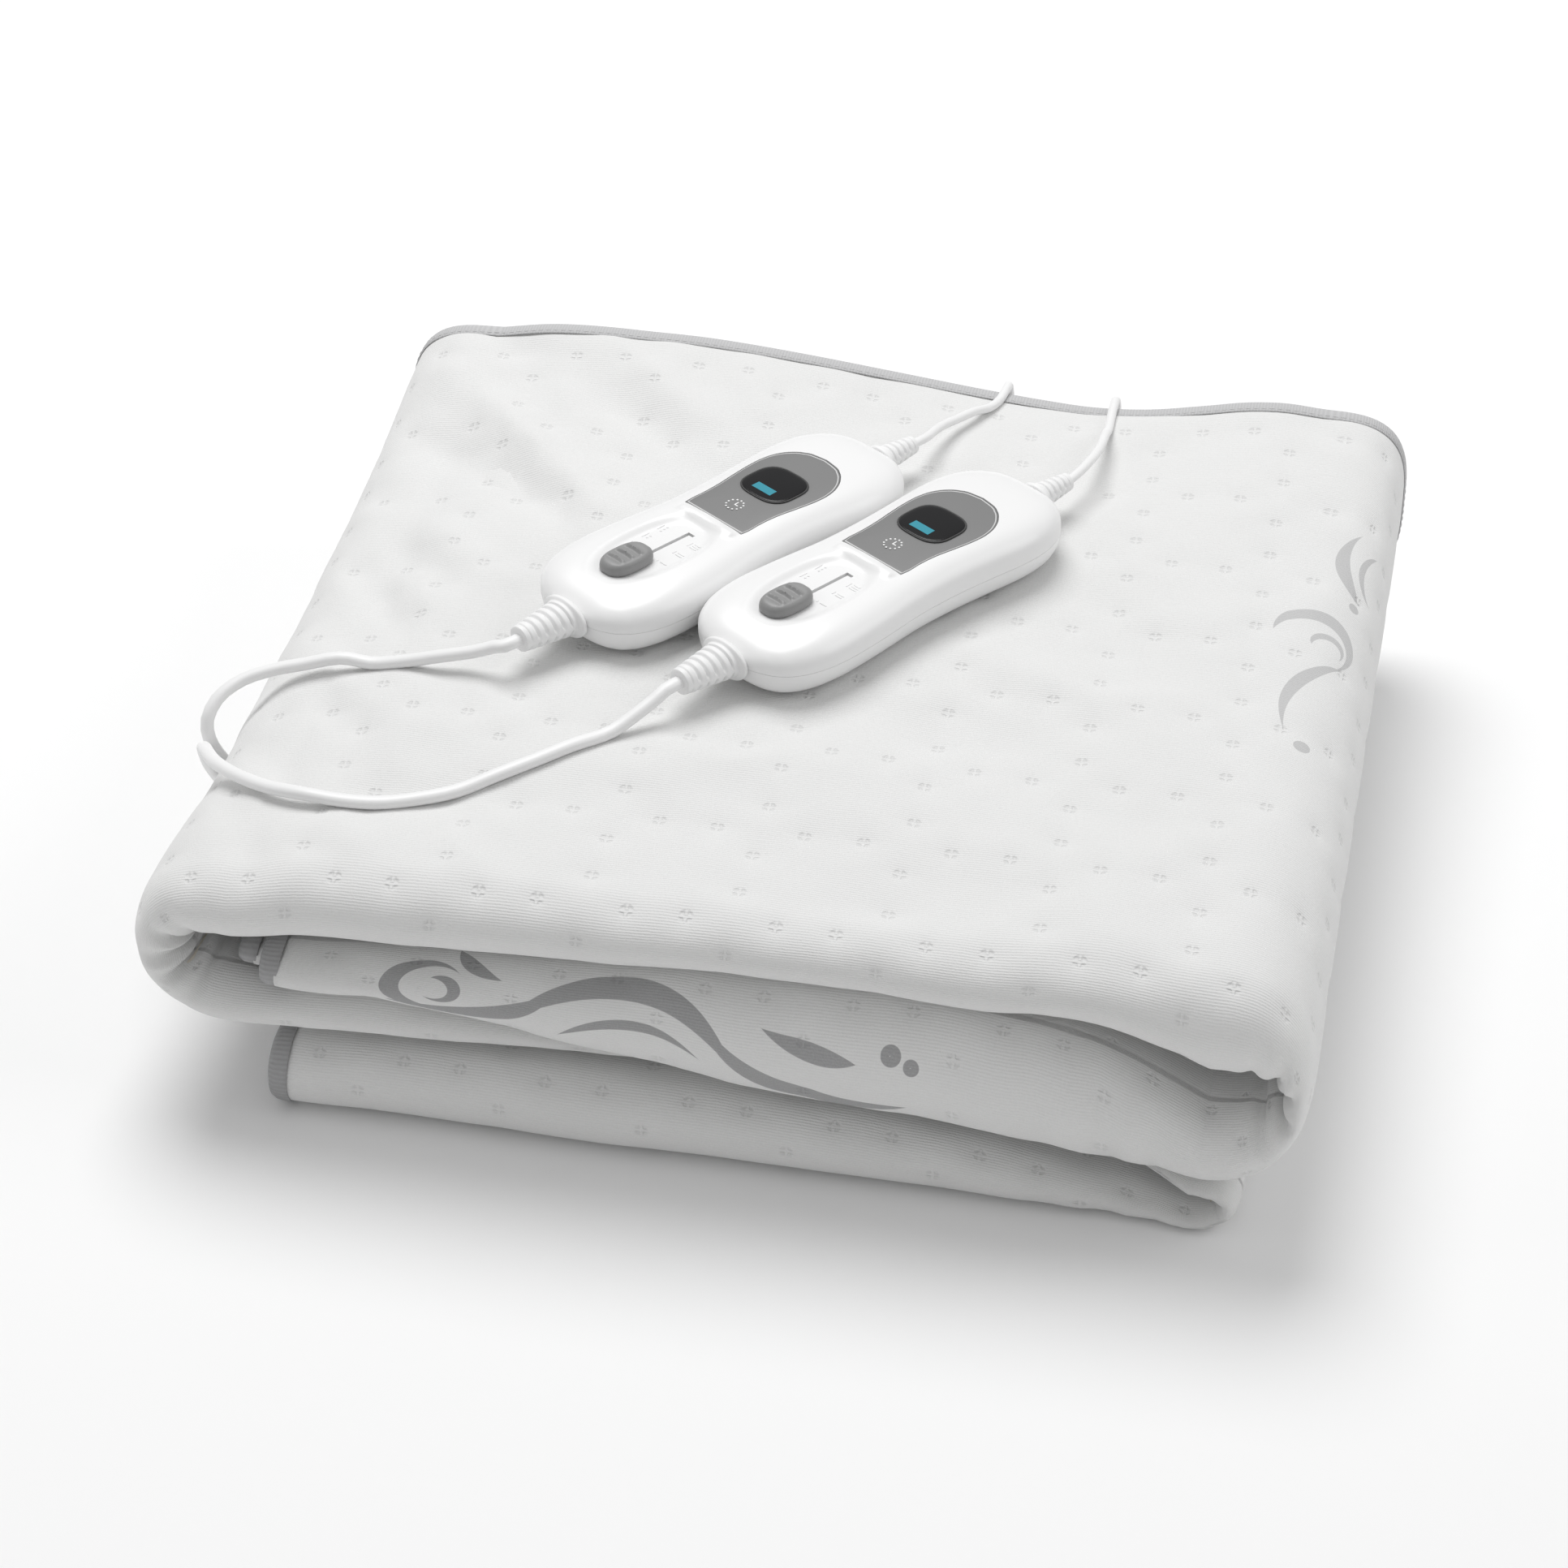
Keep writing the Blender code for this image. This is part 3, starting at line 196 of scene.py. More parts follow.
def plasticMaterial(name, colour, roughness, grain, coat=0.0, specular=0.5, metallic=0.0):
    look = plasticLook
    mat, tree, shader = newMaterial(name)
    place = addNode(tree, "ShaderNodeTexCoord").outputs["Object"]
    fine = noiseNode(tree, place, look["grainScale"], look["grainDetail"])
    cloud = noiseNode(tree, place, look["cloudScale"])
    tint = rangeNode(tree, cloud, 0, 1, False, 1 - look["tintSpread"], 1 + look["tintSpread"])
    rough = rangeNode(tree, cloud, 0, 1, False, roughness - look["roughSpread"],
                      roughness + look["roughSpread"])
    setInputs(tree, shader, {
        "Base Color": scaleNode(tree, colour, tint), "Roughness": rough, "Metallic": metallic,
        "Normal": bumpNode(tree, fine, grain, look["grainDepth"]),
        "Coat Weight": coat, "Coat Roughness": look["coatRoughness"], "Specular IOR Level": specular})
    return mat


cordPlastic = plasticMaterial("cordPlastic", (0.86, 0.86, 0.86), 0.42, 0.05)
bootRubber = plasticMaterial("bootRubber", (0.85, 0.85, 0.85), 0.5, 0.08)
housingPlastic = plasticMaterial("housingPlastic", (0.87, 0.87, 0.87), 0.3, 0.04, coat=0.15)
fasciaPlastic = plasticMaterial("fasciaPlastic", (0.205, 0.205, 0.205), 0.34, 0.05)
fasciaPale = plasticMaterial("fasciaPale", (0.62, 0.62, 0.62), 0.4, 0.02)
knobPlastic = plasticMaterial("knobPlastic", (0.27, 0.27, 0.27), 0.42, 0.1)
windowGlass = plasticMaterial("windowGlass", (0.008, 0.008, 0.009), 0.16, 0.0, specular=0.28)
boardLaminate = plasticMaterial("boardLaminate", (0.04, 0.2, 0.08), 0.5, 0.2)
darkPlastic = plasticMaterial("darkPlastic", (0.03, 0.03, 0.03), 0.5, 0.2)
# near black: painted shade inside the slider slot
slotShade = plasticMaterial("slotShade", (0.02, 0.02, 0.02), 0.6, 0.0)
cableRubber = plasticMaterial("cableRubber", (0.7, 0.66, 0.58), 0.6, 0.1)
pinMetal = plasticMaterial("pinMetal", (0.72, 0.72, 0.73), 0.25, 0.05, metallic=1.0)
steelMetal = plasticMaterial("steelMetal", (0.55, 0.55, 0.57), 0.35, 0.1, metallic=1.0)
tiePlastic = plasticMaterial("tiePlastic", (0.82, 0.82, 0.82), 0.45, 0.1)
threadGrey = plasticMaterial("threadGrey", (0.60, 0.60, 0.60), 0.7, 0.1)
inkWhite = plasticMaterial("inkWhite", (0.86, 0.86, 0.86), 0.5, 0.0)
litTeal = plasticMaterial("litTeal", (0.01, 0.16, 0.21), 0.35, 0.0)
setInputs(litTeal.node_tree, litTeal.node_tree.nodes["Principled BSDF"],
          {"Emission Color": (0.012, 0.26, 0.34, 1), "Emission Strength": 0.45})


# four-sided faces between closed loops that follow one another in the list of points
def bandFaces(loops, count, base=0):
    faces = []
    for i in range(loops - 1):
        low, high = base + i * count, base + (i + 1) * count
        for k in range(count):
            n = (k + 1) % count
            faces.append((low + k, low + n, high + n, high + k))
    return faces


# triangles from one point to a closed loop
def fanFaces(tip, base, count, turned=False):
    pairs = [(base + k, base + (k + 1) % count) for k in range(count)]
    return [(tip, b, a) if turned else (tip, a, b) for a, b in pairs]


def solidMesh(name, points, faces, smooth=True, sharp=None):
    mesh = bpy.data.meshes.new(name)
    mesh.from_pydata([tuple(p) for p in points], [], faces)
    mesh.update()
    form = bmesh.new()
    form.from_mesh(mesh)
    bmesh.ops.recalc_face_normals(form, faces=form.faces)
    form.to_mesh(mesh)
    form.free()
    if smooth:
        mesh.shade_smooth()
    if sharp:
        mesh.set_sharp_from_angle(angle=math.radians(sharp))
    return mesh


# lengths along and across the cloth, in mm, as its own map
def paintCloth(mesh, coords):
    corner = np.zeros(len(mesh.loops), int)
    mesh.loops.foreach_get("vertex_index", corner)
    flat = np.array(coords)[corner] * mm
    mesh.uv_layers.new(name="cloth").data.foreach_set("uv", flat.reshape(-1))


def trianglesOf(mesh):
    return sum(len(p.vertices) - 2 for p in mesh.polygons)


# the cords follow the solids' routes, from boot to plug; routes in mm, and a height of zero
# stands for lying on the velour; leadFall: place past the back edge, height above that edge
cordSpec = {
    "mainsWide": 5.2 * mm, "mainsTall": 4.6 * mm, "mainsStep": 4 * mm, "mainsRoot": 6 * mm,
    "leadWide": 3.6 * mm, "leadTall": 3.4 * mm, "leadStep": 2 * mm, "leadRoot": 5 * mm,
    "tubeSides": 14, "mainsGroove": 0.10, "leadGroove": 0.06, "pressedIn": 0.25, "curveSteps": 16,
    "coilPitch": 5.75 * mm, "coilOuter": 36.6 * mm, "coilTurns": 6.25, "coilLow": 3.2 * mm,
    "coilRise": 5.35 * mm, "climbTurns": 0.5, "loopSteps": 24, "coilStep": 4.7 * mm, "tailStep": 3 * mm,
    "coilPlace": {"far": (-0.008, 0.243), "near": (-0.125, 0.243)},
    "coilStart": {"far": (-math.pi / 2, 1), "near": (math.pi, -1)},
    "controllerPlace": {"far": (-0.0396, 0.034), "near": (0.0219, 0.0193)},
    "turn": math.radians(54.4),
    "restHeight": 104.3 * mm,
    "bodyHalf": 78 * mm,
    "axisHeight": 11.65 * mm,
    "mainsBoot": 22.6 * mm,
    "blanketBoot": 17.6 * mm,
    "terminalX": {"far": 41.0, "near": 84.0},
    "backEdge": 182.5,
    "leadFall": ((184.2, 1.75), (188.6, 0.4), (191.6, -3.4), (192.8, -7.4)),
    "leadEnd": (193.0, 0.4),
    "routes": {
        "far": (
            (-104.5, -51.2, 114.9), (-113.4, -52.4, 112.0), (-126.6, -52.6, 108.3), (-139, -52.4, 0),
            (-151, -52, 0), (-162.5, -52.2, 102.6), (-176, -54.2, 99.4), (-187.5, -56.5, 96.8),
            (-197.5, -60.5, 93.8), (-204.2, -67.5, 90.3), (-207, -73.8, 84.5), (-206.6, -74.6, 76.5),
            (-206, -68, 65), (-205.6, -55, 49), (-204.6, -38, 33.5), (-202, -16, 17), (-200, 6, 7),
            (-198, 32, 3.2), (-199, 70, 3), (-198, 110, 3), (-198, 150, 3), (-190, 179, 3),
            (-168, 192.5, 3), (-130, 193.5, 3), (-90, 193, 3), (-58, 193.5, 3.2), (-30, 202, 3.6)),
        "near": (
            (-41.3, -68.6, 114.6), (-47.6, -76, 111.2), (-56, -84.6, 0), (-66.5, -94.5, 0),
            (-77.5, -104.5, 0), (-88.5, -113.8, 0), (-100, -122, 0), (-111.5, -128.8, 0),
            (-124, -133.4, 0), (-137, -135.4, 0), (-151, -134.8, 103.3), (-166, -129.4, 100.2),
            (-180, -120.6, 96.8), (-192.4, -108.4, 92.2), (-201, -94.5, 86.8), (-205.2, -84.5, 79),
            (-207, -77, 68), (-207.8, -66, 53), (-208.2, -50, 35), (-208, -32, 19.5), (-207, -8, 7.4),
            (-206, 20, 3.2), (-207.5, 60, 3), (-206.5, 105, 3), (-207, 150, 3), (-203, 185, 3),
            (-188, 208, 3), (-170, 221, 3.2)),
    },
    "leads": {
        "far": (
            (19.8, 119.5, 114.9), (21.6, 127.8, 113.2), (23.6, 136.0, 111.0), (27.4, 145.5, 108.6),
            (32.4, 156.0, 106.4), (36.8, 166.0, 0), (39.6, 175.0, 0)),
        "near": (
            (80.6, 106.0, 115.0), (82.6, 115.5, 113.4), (84.0, 126.0, 111.0), (84.8, 137.5, 108.6),
            (84.9, 149.0, 106.4), (84.6, 161.0, 0), (84.2, 173.0, 0)),
    },
}
# how a flat tube keeps level: least level share, part of the last direction kept, groove's width
tubeSpec = {"levelLimit": 0.3, "keep": 0.75, "grooveWidth": 0.3}


def controllerTurn(side):
    cx, cy = cordSpec["controllerPlace"][side]
    return cx, cy, math.cos(cordSpec["turn"]), math.sin(cordSpec["turn"])


def controllerPoint(side, x, y, z):
    cx, cy, c, s = controllerTurn(side)
    return Vector((cx + x * c - y * s, cy + x * s + y * c, cordSpec["restHeight"] + z))


def controllerLocal(side, x, y):
    cx, cy, c, s = controllerTurn(side)
    return (x - cx) * c + (y - cy) * s, (cx - x) * s + (y - cy) * c


# even points on a smooth curve through the route
def evenCurve(route, spacing):
    pts = [Vector(p) for p in route]
    pts = [2 * pts[0] - pts[1]] + pts + [2 * pts[-1] - pts[-2]]
    steps = cordSpec["curveSteps"]
    fine = []
    for a, b, c, d in zip(pts, pts[1:], pts[2:], pts[3:]):
        for t in (i / steps for i in range(steps)):
            fine.append(0.5 * (2 * b + (c - a) * t + (2 * a - 5 * b + 4 * c - d) * t * t
                               + (3 * b - a - 3 * c + d) * t ** 3))
    fine.append(pts[-2])
    table = np.array([tuple(p) for p in fine])
    run = np.concatenate([[0], np.cumsum(np.linalg.norm(np.diff(table, axis=0), axis=1))])
    want = np.linspace(0, run[-1], max(2, round(run[-1] / spacing)) + 1)
    return [Vector([float(np.interp(w, run, table[:, k])) for k in range(3)]) for w in want]


def lengthOf(points):
    return sum((b - a).length for a, b in zip(points, points[1:]))


# two flat spirals, one over the other: inwards below, outwards above
def coilPoints(side):
    spec = cordSpec
    cx, cy = spec["coilPlace"][side]
    start, way = spec["coilStart"][side]
    turns = spec["coilTurns"]
    points = []
    for i in range(round(turns * spec["loopSteps"]) + 1):
        turn = i / spec["loopSteps"]
        radius = spec["coilOuter"] - spec["coilPitch"] * min(turn, turns - turn)
        climb = min(1.0, max(0.0, 0.5 + (turn - turns / 2) / spec["climbTurns"]))
        angle = start + way * math.tau * turn
        points.append(Vector((cx + radius * math.cos(angle), cy + radius * math.sin(angle),
                              spec["coilLow"] + spec["coilRise"] * climb)))
    return points


def flatTube(name, points, wide, tall, sides, groove, mat):
    spec = tubeSpec
    verts = []
    across = None
    for i, p in enumerate(points):
        ahead = (points[min(i + 1, len(points) - 1)] - points[max(i - 1, 0)]).normalized()
        level = ahead.cross(Vector((0, 0, 1)))
        if across is None:
            across = level.normalized()
        across = (across - ahead * across.dot(ahead)).normalized()
        if level.length > spec["levelLimit"]:
            if level.dot(across) < 0:
                level = -level
            across = (across * spec["keep"] + level.normalized() * (1 - spec["keep"])).normalized()
        up = across.cross(ahead).normalized()
        for k in range(sides):
            a = math.tau * k / sides
            dent = 1 - groove * math.exp(-(math.cos(a) / spec["grooveWidth"]) ** 2)
            verts.append(p + across * (wide / 2 * math.cos(a)) + up * (tall / 2 * math.sin(a) * dent))
    first, last = len(verts), len(verts) + 1
    faces = bandFaces(len(points), sides)
    faces += fanFaces(first, 0, sides, True) + fanFaces(last, first - sides, sides)
    return addObject(name, solidMesh(name, verts + [points[0], points[-1]], faces), mat)


def laidPoint(place, tall):
    x, y, z = place
    return Vector((x, y, z if z else topHeight(x, y) + tall / 2 / mm - cordSpec["pressedIn"])) * mm


def topHeight(x, y):
    ring = flatRing("C", x)
    ring["s"] = x
    return sheetSpot(ring, ("flat", y, 1.0))[0].z / mm


def mainsCord(side):
    spec = cordSpec
    wide, tall = spec["mainsWide"], spec["mainsTall"]
    coil = coilPoints(side)
    way = (coil[1] - coil[0]).normalized()
    start = controllerPoint(side, -(spec["bodyHalf"] + spec["mainsBoot"]), 0, spec["axisHeight"])
    out = (controllerPoint(side, -1, 0, 0) - controllerPoint(side, 0, 0, 0)).normalized()
    laid = [laidPoint(p, tall) for p in spec["routes"][side]]
    route = [start - out * spec["mainsRoot"], start, start + out * wide, *laid,
             coil[0] - way * 2 * wide, coil[0] - way * wide]
    free = evenCurve(route, spec["mainsStep"])
    wound = evenCurve([free[-1], *coil], spec["coilStep"])[1:]
    leave = (coil[-1] - coil[-2]).normalized() * spec["tailStep"]
    points = free + wound + [coil[-1] + leave, coil[-1] + leave * 2]
    print("mains cord", side, "metres", round(lengthOf(points), 3))
    cord = flatTube("mainsCord_" + side, points, wide, tall, spec["tubeSides"], spec["mainsGroove"],
                    cordPlastic)
    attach(cord, "folded_stack")
    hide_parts("mains_lead_" + side, "mains_coil_" + side)
    return cord, points


def blanketCord(side):
    spec = cordSpec
    wide, tall = spec["leadWide"], spec["leadTall"]
    way = (controllerPoint(side, 1, 0, 0) - controllerPoint(side, 0, 0, 0)).normalized()
    start = controllerPoint(side, spec["bodyHalf"] + spec["blanketBoot"], 0, spec["axisHeight"])
    endX = spec["terminalX"][side]
    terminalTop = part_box("lead_terminal_" + side)[1][2] / mm
    edge = topHeight(endX, spec["backEdge"])
    fall = [(y, edge + rise) for y, rise in spec["leadFall"]]
    fall.append((spec["leadEnd"][0], terminalTop + spec["leadEnd"][1]))
    laid = [laidPoint(p, tall) for p in spec["leads"][side]]
    route = [start - way * spec["leadRoot"], start, *laid, *[Vector((endX, y, z)) * mm for y, z in fall]]
    points = evenCurve(route, spec["leadStep"])
    print("blanket lead", side, "metres", round(lengthOf(points), 3))
    lead = flatTube("blanketLead_" + side, points, wide, tall, spec["tubeSides"], spec["leadGroove"],
                    cordPlastic)
    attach(lead, "folded_stack")
    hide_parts("blanket_lead_" + side)
    return lead, points


# the velour's look: colours, ribs, petals of the quilting marks with painted shade in their dents; lengths in
# metres
clothSpec = {
    "bright": (0.79, 0.79, 0.785, 1), "print": (0.36, 0.36, 0.365, 1),
    "ribPitch": 1.05 * mm, "ribTone": (0.012, 0.985), "ribWaver": 0.5 * mm, "streakScale": (260, 900, 1),
    "grainScale": 1500, "grainRange": (0.25, 0.75), "grainTone": (0.05, 0.955),
    "cloudScale": 25, "cloudTone": (0.03, 0.985),
    "petalReach": 2.8 * mm, "petalInner": 0.62, "petalCore": (0.6 * mm, 1.3 * mm),
    # the petals' tone darkens the quilting dents: painted shade
    "petalGap": (0.21 * mm, 0.924 * mm), "petalShade": (-0.06, 1.0), "petalEnd": (173 * mm, 171 * mm),
    "strokeEdge": 0.16 * mm, "leastLean": 0.05, "inkTone": (0.22, 0.84),
    "ribHeight": 0.16, "grainHeight": 0.5, "petalHeight": -1.25, "relief": (0.7, 0.35 * mm),
    "shader": {"Roughness": 0.92, "Specular IOR Level": 0.15, "Sheen Weight": 0.12, "Sheen Roughness": 0.5},
}
# strokes of the printed scrollwork: centre, radius, middle angle, half sweep, half width, skew
# (mm and degrees)
printSpec = {
    "front": {"origin": (438.8, -198.0), "flip": -1, "strength": 1.0, "strokes": (
        ((-96, 8), 14, 170, 125, 3.4, 0.4), ((-93.5, 8.5), 6.5, -10, 120, 2.2, 0.4),
        ((-98, 55), 61, -72, 31, 4.2, 0.1), ((-30, -26), 45, 88, 60, 4.6, -0.1),
        ((-26, -30), 35, 92, 44, 2.0, 0.2), ((47, 45.5), 60, -108, 38, 4.2, 0.2),
        ((52, 78), 74, -104, 13, 3.2, 0.3), ((-66, 40), 24, -128, 26, 2.8, -0.3),
        ((62, 8), 1.8, 0, 400, 1.8, 0), ((69, 5), 1.4, 0, 400, 1.4, 0))},
    "right": {"origin": (0.0, 0.0), "flip": 1, "strength": 0.55, "strokes": (
        ((206, 88), 27, 190, 50, 3.2, 0.4), ((207, 84), 18, 182, 58, 1.7, -0.4),
        ((177, 30), 15, 60, 112, 3.0, 0.45), ((182, 28), 6.5, 80, 112, 1.7, 0.4),
        ((214, -16), 44, 160, 36, 2.6, -0.5), ((179, -36), 1.7, 0, 400, 1.7, 0),
        ((189, 60), 1.4, 0, 400, 1.4, 0))},
}
tapeLook = {
    "grainScale": 1300, "ribTone": 0.05, "grainTone": (0.12, 0.9), "ribHeight": 0.5,
    "relief": (0.6, 0.2 * mm), "shader": {"Roughness": 0.8, "Specular IOR Level": 0.2},
}


def groupOf(name, inputs, output):
    group = bpy.data.node_groups.new(name, "ShaderNodeTree")
    for label, kind in inputs:
        group.interface.new_socket(name=label, in_out="INPUT", socket_type=kind)
    group.interface.new_socket(name=output, in_out="OUTPUT", socket_type="NodeSocketFloat")
    return group, group.nodes.new("NodeGroupInput").outputs, group.nodes.new("NodeGroupOutput")


# arc that thins out towards both ends, leaning to one of them
def strokeGroup():
    floats = ("Radius", "Middle", "Half Sweep", "Half Width", "Skew")
    tree, given, end = groupOf("scrollStroke", [
        ("Place", "NodeSocketVector"), ("Center", "NodeSocketVector"),
        *[(label, "NodeSocketFloat") for label in floats]], "Mask")
    away = vectorNode(tree, "SUBTRACT", given["Place"], given["Center"])
    split = splitNode(tree, away)
    angle = mathNode(tree, "ARCTAN2", split["Y"], split["X"])
    turned = mathNode(tree, "WRAP", mathNode(tree, "SUBTRACT", angle, given["Middle"]), math.pi, -math.pi)
    t = mathNode(tree, "DIVIDE", turned, given["Half Sweep"])
    body = mathNode(tree, "SUBTRACT", 1.0, mathNode(tree, "MULTIPLY", t, t))
    lean = mathNode(tree, "MULTIPLY_ADD", t, given["Skew"], 1.0)
    lean = mathNode(tree, "MAXIMUM", lean, clothSpec["leastLean"])
    width = mathNode(tree, "MULTIPLY", mathNode(tree, "MULTIPLY", body, lean), given["Half Width"])
    off = mathNode(tree, "SUBTRACT", vectorNode(tree, "LENGTH", away), given["Radius"])
    edge = clothSpec["strokeEdge"]
    mask = rangeNode(tree, mathNode(tree, "SUBTRACT", width, mathNode(tree, "ABSOLUTE", off)), -edge, edge)
    setInputs(tree, end, {"Mask": mask})
    return tree


# four petals round each quilting mark
def markGroup():
    spec, look = sheetSpec, clothSpec
    tree, given, end = groupOf("petalMarks", (("Place", "NodeSocketVector"),), "Petals")
    pitch = (spec["markPitchX"] * mm, spec["markPitchY"] * mm, 1.0)
    half = tuple(v / 2 for v in pitch)
    origin = (spec["markX"] * mm, spec["markY"] * mm, 0)
    moved = vectorNode(tree, "SUBTRACT", given["Place"], origin)
    folded = vectorNode(tree, "ABSOLUTE", vectorNode(tree, "WRAP", moved, half, tuple(-v for v in half)))
    masks = []
    for offset in ((spec["markOffX"] * mm, 0, 0), (0, spec["markOffY"] * mm, 0)):
        spot = vectorNode(tree, "ABSOLUTE", vectorNode(tree, "SUBTRACT", folded, offset))
        split = splitNode(tree, spot)
        reach = vectorNode(tree, "LENGTH", spot)
        ring = rangeNode(tree, reach, look["petalReach"], look["petalReach"] * look["petalInner"])
        core = rangeNode(tree, reach, *look["petalCore"])
        gapX, gapY = (rangeNode(tree, split[axis], *look["petalGap"]) for axis in ("X", "Y"))
        masks.append(mathNode(tree, "MULTIPLY", mathNode(tree, "MULTIPLY", ring, core),
                              mathNode(tree, "MULTIPLY", gapX, gapY)))
    keep = rangeNode(tree, splitNode(tree, given["Place"])["Y"], *look["petalEnd"])
    petals = mathNode(tree, "MULTIPLY", mathNode(tree, "MAXIMUM", *masks), keep)
    setInputs(tree, end, {"Petals": petals})
    return tree


def printMask(tree, place):
    stroke = strokeGroup()
    inked = None
    for motif in printSpec.values():
        (ox, oy), flip = motif["origin"], motif["flip"]
        mask = None
        for (x, y), radius, middle, sweep, width, skew in motif["strokes"]:
            node = addNode(tree, "ShaderNodeGroup", {
                "Place": place, "Center": ((ox + flip * x) * mm, (oy + flip * y) * mm, 0),
                "Radius": radius * mm, "Middle": math.radians(middle + (180 if flip < 0 else 0)),
                "Half Sweep": math.radians(sweep), "Half Width": width * mm, "Skew": skew,
            }, node_tree=stroke)
            drawn = node.outputs["Mask"]
            mask = drawn if mask is None else mathNode(tree, "MAXIMUM", mask, drawn)
        mask = mathNode(tree, "MULTIPLY", mask, motif["strength"])
        inked = mask if inked is None else mathNode(tree, "MAXIMUM", inked, mask)
    return inked


def velourMaterial():
    look = clothSpec
    mat, tree, shader = newMaterial("quiltedVelour")
    place = addNode(tree, "ShaderNodeUVMap", uv_map="cloth").outputs["UV"]
    petals = addNode(tree, "ShaderNodeGroup", {"Place": place}, node_tree=markGroup()).outputs["Petals"]
    inked = printMask(tree, place)
    grain = noiseNode(tree, place, look["grainScale"])
    cloud = noiseNode(tree, place, look["cloudScale"])
    streak = noiseNode(tree, vectorNode(tree, "MULTIPLY", place, look["streakScale"]), 1.0)
    waver = mathNode(tree, "MULTIPLY_ADD", streak, look["ribWaver"], splitNode(tree, place)["Y"])
    rib = mathNode(tree, "SINE", mathNode(tree, "MULTIPLY", waver, math.tau / look["ribPitch"]))
    grainTone = rangeNode(tree, grain, *look["grainRange"], False)
    tone = mathNode(tree, "MULTIPLY_ADD", rib, *look["ribTone"])
    # grain and cloud vary the velour's own tone; the petals' darkening is painted shade in the quilting dents
    for value, key in ((grainTone, "grainTone"), (cloud, "cloudTone"), (petals, "petalShade")):
        tone = mathNode(tree, "MULTIPLY", tone, mathNode(tree, "MULTIPLY_ADD", value, *look[key]))
    ink = mathNode(tree, "MULTIPLY", inked, mathNode(tree, "MULTIPLY_ADD", grainTone, *look["inkTone"]))
    mix = addNode(tree, "ShaderNodeMix", {"Factor": ink}, data_type="RGBA")
    setInputs(tree, mix, {6: look["bright"], 7: look["print"]})
    height = mathNode(tree, "MULTIPLY", grain, look["grainHeight"])
    height = mathNode(tree, "MULTIPLY_ADD", rib, look["ribHeight"], height)
    height = mathNode(tree, "MULTIPLY_ADD", petals, look["petalHeight"], height)
    setInputs(tree, shader, {"Base Color": scaleNode(tree, mix.outputs[2], tone),
                             "Normal": bumpNode(tree, height, *look["relief"]), **look["shader"]})
    return mat


def tapeMaterial(name, colour, ribPitch):
    look = tapeLook
    mat, tree, shader = newMaterial(name)
    place = addNode(tree, "ShaderNodeUVMap", uv_map="cloth").outputs["UV"]
    along = splitNode(tree, place)["X"]
    rib = mathNode(tree, "SINE", mathNode(tree, "MULTIPLY", along, math.tau / ribPitch))
    grain = noiseNode(tree, place, look["grainScale"])
    tone = mathNode(tree, "MULTIPLY_ADD", grain, *look["grainTone"])
    tone = mathNode(tree, "MULTIPLY_ADD", rib, look["ribTone"], tone)
    height = mathNode(tree, "MULTIPLY_ADD", rib, look["ribHeight"], grain)
    setInputs(tree, shader, {"Base Color": scaleNode(tree, colour, tone),
                             "Normal": bumpNode(tree, height, *look["relief"]), **look["shader"]})
    return mat


# the folded blanket is one sheet, doubled twice in depth and then rolled into four layers; in mm
sheetSpec = {
    "frontY": -181.0, "backY": 184.0, "lipStart": -165.0, "blendStart": -95.0, "hem": 6.8,
    "sheetGap": 0.025, "foldGap": 0.03, "backBulge": 11, "floorGap": 0.15, "underStart": 90,
    "leftX": -165.0, "rightX": 166.0, "lowRightX": 162.0, "hemX": -150.0,
    "waveX": (-165, -150, -120, -77, -40, -4, 33, 55, 76, 98, 119, 137, 151, 166),
    "waveShare": (0.125, 0.105, 0.082, 0.070, 0.043, 0.008, -0.031, -0.050, -0.060, -0.044, -0.004,
                  0.033, 0.045, 0.036),
    "waveStart": 92.0, "waveSpan": 98.0,
    "lipArc": {"A": 15, "lower": 13, "B": 14, "left": 16, "C": 16, "right": 19, "D": 21},
    "flatSpacing": 5.0, "foldSpacing": 2.4, "fineFlat": 5.2, "fineTurn": 2.3, "fineFold": 5.2,
    "markPitchX": 50.0, "markPitchY": 48.0, "markX": 6.0, "markY": -125.0,
    "markOffX": 15.0, "markOffY": 13.5, "markSteps": (-3.1, -1.5, 0, 1.5, 3.1),
    # dent round each mark: depth, squared width; then where the dents end at the back
    "markDents": ((0.5, 5.5), (0.62, 52)), "markEnd": 172.5, "markFade": 3.0,
    "turnPower": (2.1, 1.1, 150),
    "topRows": (170, 158, 140, 110, 70, 30, -10, -50, -85, -110, -130, -145, -156),
    "underRows": (-150, -130, -90, -30, 40, 110, 150, 168), "hiddenRows": (-90, 20, 110, 160),
    "lipSteps": {True: 34, False: 26}, "backSteps": 7, "hiddenSteps": 6,
}
